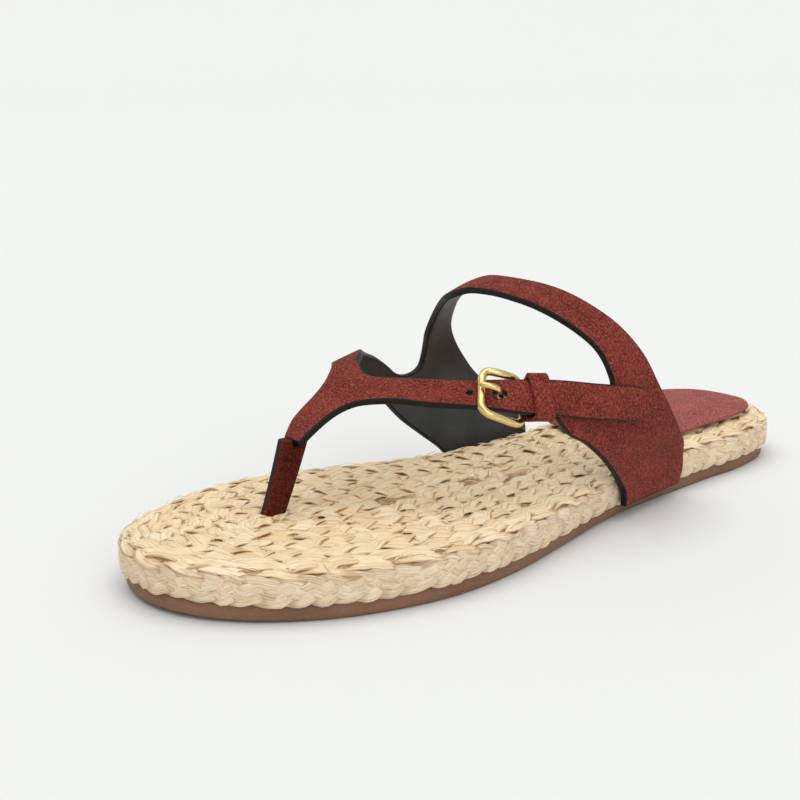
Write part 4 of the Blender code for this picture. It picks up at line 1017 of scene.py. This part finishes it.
suede = suede_finish("burgundy_suede", (0.140, 0.020, 0.014, 1.0), (0.235, 0.037, 0.026, 1.0),
                     (0.400, 0.105, 0.076, 1.0))
lining, start, place = new_finish("black_lining")
pores = place.noise(1500.0, 3.0, 0.6)
soft = place.noise(90.0, 2.0)
close_finish(start, {"Specular IOR Level": 0.5}, ((pores, 0.00008),),
             Base_Color=soft.between(0.3, 0.7).mix((0.014, 0.014, 0.013, 1.0), (0.030, 0.030, 0.028, 1.0)),
             Roughness=pores * 0.2 + 0.38)
edge_paint, start, place = new_finish("black_edge_paint")
brush = place.noise(1100.0, 3.0, 0.6)
close_finish(start, {"Specular IOR Level": 0.25}, ((brush, 0.00008),),
             Base_Color=brush.between(0.4, 0.8).mix((0.004, 0.004, 0.004, 1.0), (0.014, 0.012, 0.011, 1.0)),
             Roughness=brush * 0.2 + 0.42)

faces = [tuple(f) for f in main_faces] + [tuple(np.array(f) + len(main_points)) for f in strap_faces]
upper = shaped("bonded_upper", np.vstack([main_points, strap_verts]), faces,
               [suede, lining, edge_paint], sharp=180)
work = bmesh.new()
work.from_mesh(upper.data)
if sum(f.normal.z * f.calc_area() for f in work.faces) < 0:
    bmesh.ops.reverse_faces(work, faces=work.faces)
work.to_mesh(upper.data)
work.free()
wall = upper.modifiers.new("wall", "SOLIDIFY")
wall.thickness = WALL
wall.offset = -1
wall.use_even_offset = True
wall.material_offset = 1
wall.material_offset_rim = 2
round_edges(upper, ROUNDED_EDGE, 2)
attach(upper, "root")
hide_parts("upper")


# Toe post: a strip of suede folded lengthwise, darkened with painted shade, with its black cut edge towards
# the toe.
# It comes up between the plaits and takes the end of the front strap into its fold.
POST_WIDTH = 0.0090
POST_THICKNESS = 0.0042
POST_FOOT_WIDTH = 0.0070
POST_FOOT_THICKNESS = 0.0036
POST_ROUND = 0.0008
POST_FOOT = (-0.0945, 0.1860)
POST_HEAD = (-0.0780, 0.2192)
POST_BOW = 0.0003
TOE_FACING = -0.30
POST_BASE = MIDSOLE_TOP + CLEARANCE


def under_front_strap(points):
    """Heights of the front strap's underside, less the clearance, over points in plan."""
    girths = np.linspace(-0.3, 0.3, 61)
    heights = []
    for x, y in points:
        along = np.full(len(girths), y / LENGTH + 0.5)
        face = last(along, girths)
        steep = last_normal(along, girths)[:, 2]
        heights.append(np.interp(x, face[:, 0], face[:, 2] - (WALL + CLEARANCE) / steep))
    return np.array(heights)


def post_section(half_x, half_y, step):
    """An oblong with round corners in plan, with a double point on each side where the front strap ends."""
    side = [(half_x, step - 0.00005), (half_x, step + 0.00005)]
    turned = []
    for (sx, sy), first in (((-1, 1), 90), ((-1, -1), 180), ((1, -1), 270), ((1, 1), 0)):
        for turn in np.radians(first + np.arange(0, 91, 18)):
            turned.append((sx * (half_x - POST_ROUND) + POST_ROUND * math.cos(turn),
                           sy * (half_y - POST_ROUND) + POST_ROUND * math.sin(turn)))
    left = [(-x, y) for x, y in side[::-1]]
    return np.array([(0.0, half_y), *turned[:6], *left, *turned[6:12], (0.0, -half_y), *turned[12:18],
                     *side, *turned[18:]])


# Much darker colours than the straps' suede: painted shade for the post, which faces away from the light.
shaded_post_suede = suede_finish("post_suede_painted_shade", (0.050, 0.005, 0.002, 1.0), (0.095, 0.012, 0.006, 1.0),
                          (0.180, 0.036, 0.020, 1.0))
foot = np.array([POST_FOOT[0] * BALL_WIDTH, (POST_FOOT[1] - 0.5) * LENGTH])
head = np.array([POST_HEAD[0] * BALL_WIDTH, (POST_HEAD[1] - 0.5) * LENGTH])
step = (FRONT_INNER[0][0] - 0.5) * LENGTH - CLEARANCE - head[1]
ends = [post_section(thick / 2, wide / 2, step) for thick, wide in
        ((POST_FOOT_THICKNESS, POST_FOOT_WIDTH), (POST_THICKNESS, POST_WIDTH))]
top = under_front_strap(head + ends[1])
top = np.where(ends[1][:, 1] < step, last(FRONT_INNER[0][0], 0.0)[2], top)
rings = []
for share in np.linspace(0, 1, 22):
    centre = foot + (head - foot) * share
    centre[1] += POST_BOW * math.sin(math.pi * share)
    section = ends[0] + (ends[1] - ends[0]) * share
    rings.append(np.column_stack([centre + section, POST_BASE + (top - POST_BASE) * share]))
post = stacked("folded_toe_post", rings, [shaded_post_suede, edge_paint], 50)
for face in post.data.polygons:
    share = (face.center.z - POST_BASE) / (rings[-1][:, 2].mean() - POST_BASE)
    middle = foot[0] + (head[0] - foot[0]) * share + OFF_CENTRE[0]
    face.material_index = int(face.normal.y < TOE_FACING and face.center.x < middle)
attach(post, "root")
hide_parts("toe_post")


# Keeper: a loop of the same suede round strap and tab, just behind the buckle.
# It is closed under the tab and holds the strap's free end down.
KEEPER_WALL = 0.0013
KEEPER_BEND = 0.0006
KEEPER_EDGE = 0.00035
low, high = -WALL - LAYER_GAP, WALL + 2 * LAYER_GAP
hoops = []
for grow in (0.0, KEEPER_WALL):
    across = half + LAYER_GAP + grow
    bend = KEEPER_BEND + grow
    hoop = []
    for quarter, (sx, sy) in enumerate(((1, 1), (-1, 1), (-1, -1), (1, -1))):
        level = high + grow - bend if sy > 0 else low - grow + bend
        hoop += [(sx * (across - bend) + bend * math.cos(a), level + bend * math.sin(a))
                 for a in np.radians(90 * quarter + np.arange(0, 91, 15))]
    hoop = np.array(hoop)
    dense = []
    for k, point in enumerate(hoop):
        dense.append(point)
        if k % 7 == 6:
            after = hoop[(k + 1) % len(hoop)]
            dense += [point + (after - point) * share for share in np.linspace(0, 1, 9)[1:-1]]
    hoops.append(np.array(dense))
count = len(hoops[0])
stations = np.linspace(keeper_start, keeper_end, 7)
verts = np.vstack([by_strap(share, hoop[:, 0], hoop[:, 1]) for share in stations for hoop in hoops])
faces = []
for level in range(len(stations) - 1):
    faces += wall_between(count, 2 * level * count, 2 * (level + 1) * count)
    faces += wall_between(count, (2 * level + 1) * count, (2 * level + 3) * count)
end_ring = 2 * (len(stations) - 1) * count
faces += wall_between(count, 0, count) + wall_between(count, end_ring, end_ring + count)
keeper = shaped("suede_keeper", verts, faces, [suede], sharp=180)
round_edges(keeper, KEEPER_EDGE)
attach(keeper, "root")
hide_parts("keeper_loop")


# Buckle: a bent and soldered frame of polished brass wire with a loose prong on its rear bar.
# The front bar lies over the strap, and the prong comes up through the slot and rests on it.
BUCKLE_CORNER = 0.0028
BUCKLE_EASE = 0.0010
BUCKLE_SET = -0.0005
BUCKLE_BOW = 0.0007
PRONG_STEP = 0.0004
PRONG_TIP = 0.35
PRONG_TAPER = 0.0009

brass, start, place = new_finish("polished_brass")
polish = place.noise(700.0, 3.0, 0.6)
tarnish = place.noise(240.0, 2.0)
gilt = tarnish.between(0.35, 0.7).mix((0.830, 0.640, 0.310, 1.0), (0.720, 0.500, 0.200, 1.0))
close_finish(start, {"Metallic": 1.0}, ((polish, 0.00002),), Base_Color=gilt,
             Roughness=polish * 0.18 + 0.12)


def wire(name, points, widths, closed):
    """A polished wire along a path, as a mesh, with its width at each point."""
    drawn = drawn_lines(name, [(points, closed)], widths)
    drawn.data.bevel_depth = 0.5
    drawn.data.bevel_resolution = 6
    drawn.data.use_fill_caps = True
    mesh = final_mesh(drawn)
    mesh.name = name
    closed_mesh(mesh, 60)
    mesh.materials.append(brass)
    return added(name, mesh)


front_height = strap_lift(FRONT_BAR_AT + 0.5 * WIRE / strap_length) + LAYER_GAP + WIRE / 2
rear_height = -WIRE / 2
side_reach = half + BUCKLE_EASE + WIRE / 2
long_reach = (REAR_BAR_AT - FRONT_BAR_AT) * strap_length
corners = np.array([(0, -side_reach), (0, side_reach), (long_reach, side_reach), (long_reach, -side_reach)])
bent = []
for k, here in enumerate(corners):
    before = corners[k - 1] - here
    after = corners[(k + 1) % 4] - here
    span = np.linalg.norm(after)
    before, after = before / np.linalg.norm(before), after / span
    centre = here + BUCKLE_CORNER * (before + after)
    for turn in np.radians(np.arange(0, 91, 9)):
        bent.append(centre - BUCKLE_CORNER * (after * math.cos(turn) + before * math.sin(turn)))
    for share in np.linspace(0, 1, 10)[1:-1]:
        bent.append(here + after * (BUCKLE_CORNER + share * (span - 2 * BUCKLE_CORNER)))
bent = np.array(bent)
along = np.clip(bent[:, 0] / long_reach, 0, 1)
height = front_height * (1 - along) + rear_height * along + BUCKLE_BOW * np.sin(np.pi * along)
frame_path = by_strap(FRONT_BAR_AT + bent[:, 0] / strap_length, bent[:, 1] + BUCKLE_SET, height)
buckle = wire("brass_buckle", frame_path, np.full(len(frame_path), WIRE), True)
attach(buckle, "root")
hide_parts("buckle_frame")

# The prong from its root to its tip: along the strap, height over its face
under = rear_height + 0.0001
over = front_height + WIRE / 2 + PRONG / 2 + CLEARANCE
slot = SLOT_AT * strap_length
slot_height = strap_lift(SLOT_AT)
prong_rows = np.array((
    (REAR_BAR_AT * strap_length - (WIRE / 2 + PRONG / 2 + CLEARANCE), under),
    (slot + 0.0022, under),
    (slot + 0.0009, under + 0.0006),
    (slot + 0.0003, slot_height - WALL / 2),
    (slot - 0.0003, slot_height + PRONG / 2),
    (slot - 0.0014, over - 0.0006),
    (slot - 0.0030, over),
    (FRONT_BAR_AT * strap_length - 0.0006, over),
))
prong_line = follow(prong_rows, PRONG_STEP)
prong_path = by_strap(prong_line[:, 0] / strap_length, 0.0, prong_line[:, 1])
from_tip = np.arange(len(prong_path))[::-1] * PRONG_STEP
prong_widths = PRONG * np.clip(PRONG_TIP + (1 - PRONG_TIP) * np.sqrt(from_tip / PRONG_TAPER), 0, 1)
prong = wire("brass_prong", prong_path, prong_widths, False)
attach(prong, "root")
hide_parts("buckle_prong")


bpy.context.view_layer.update()
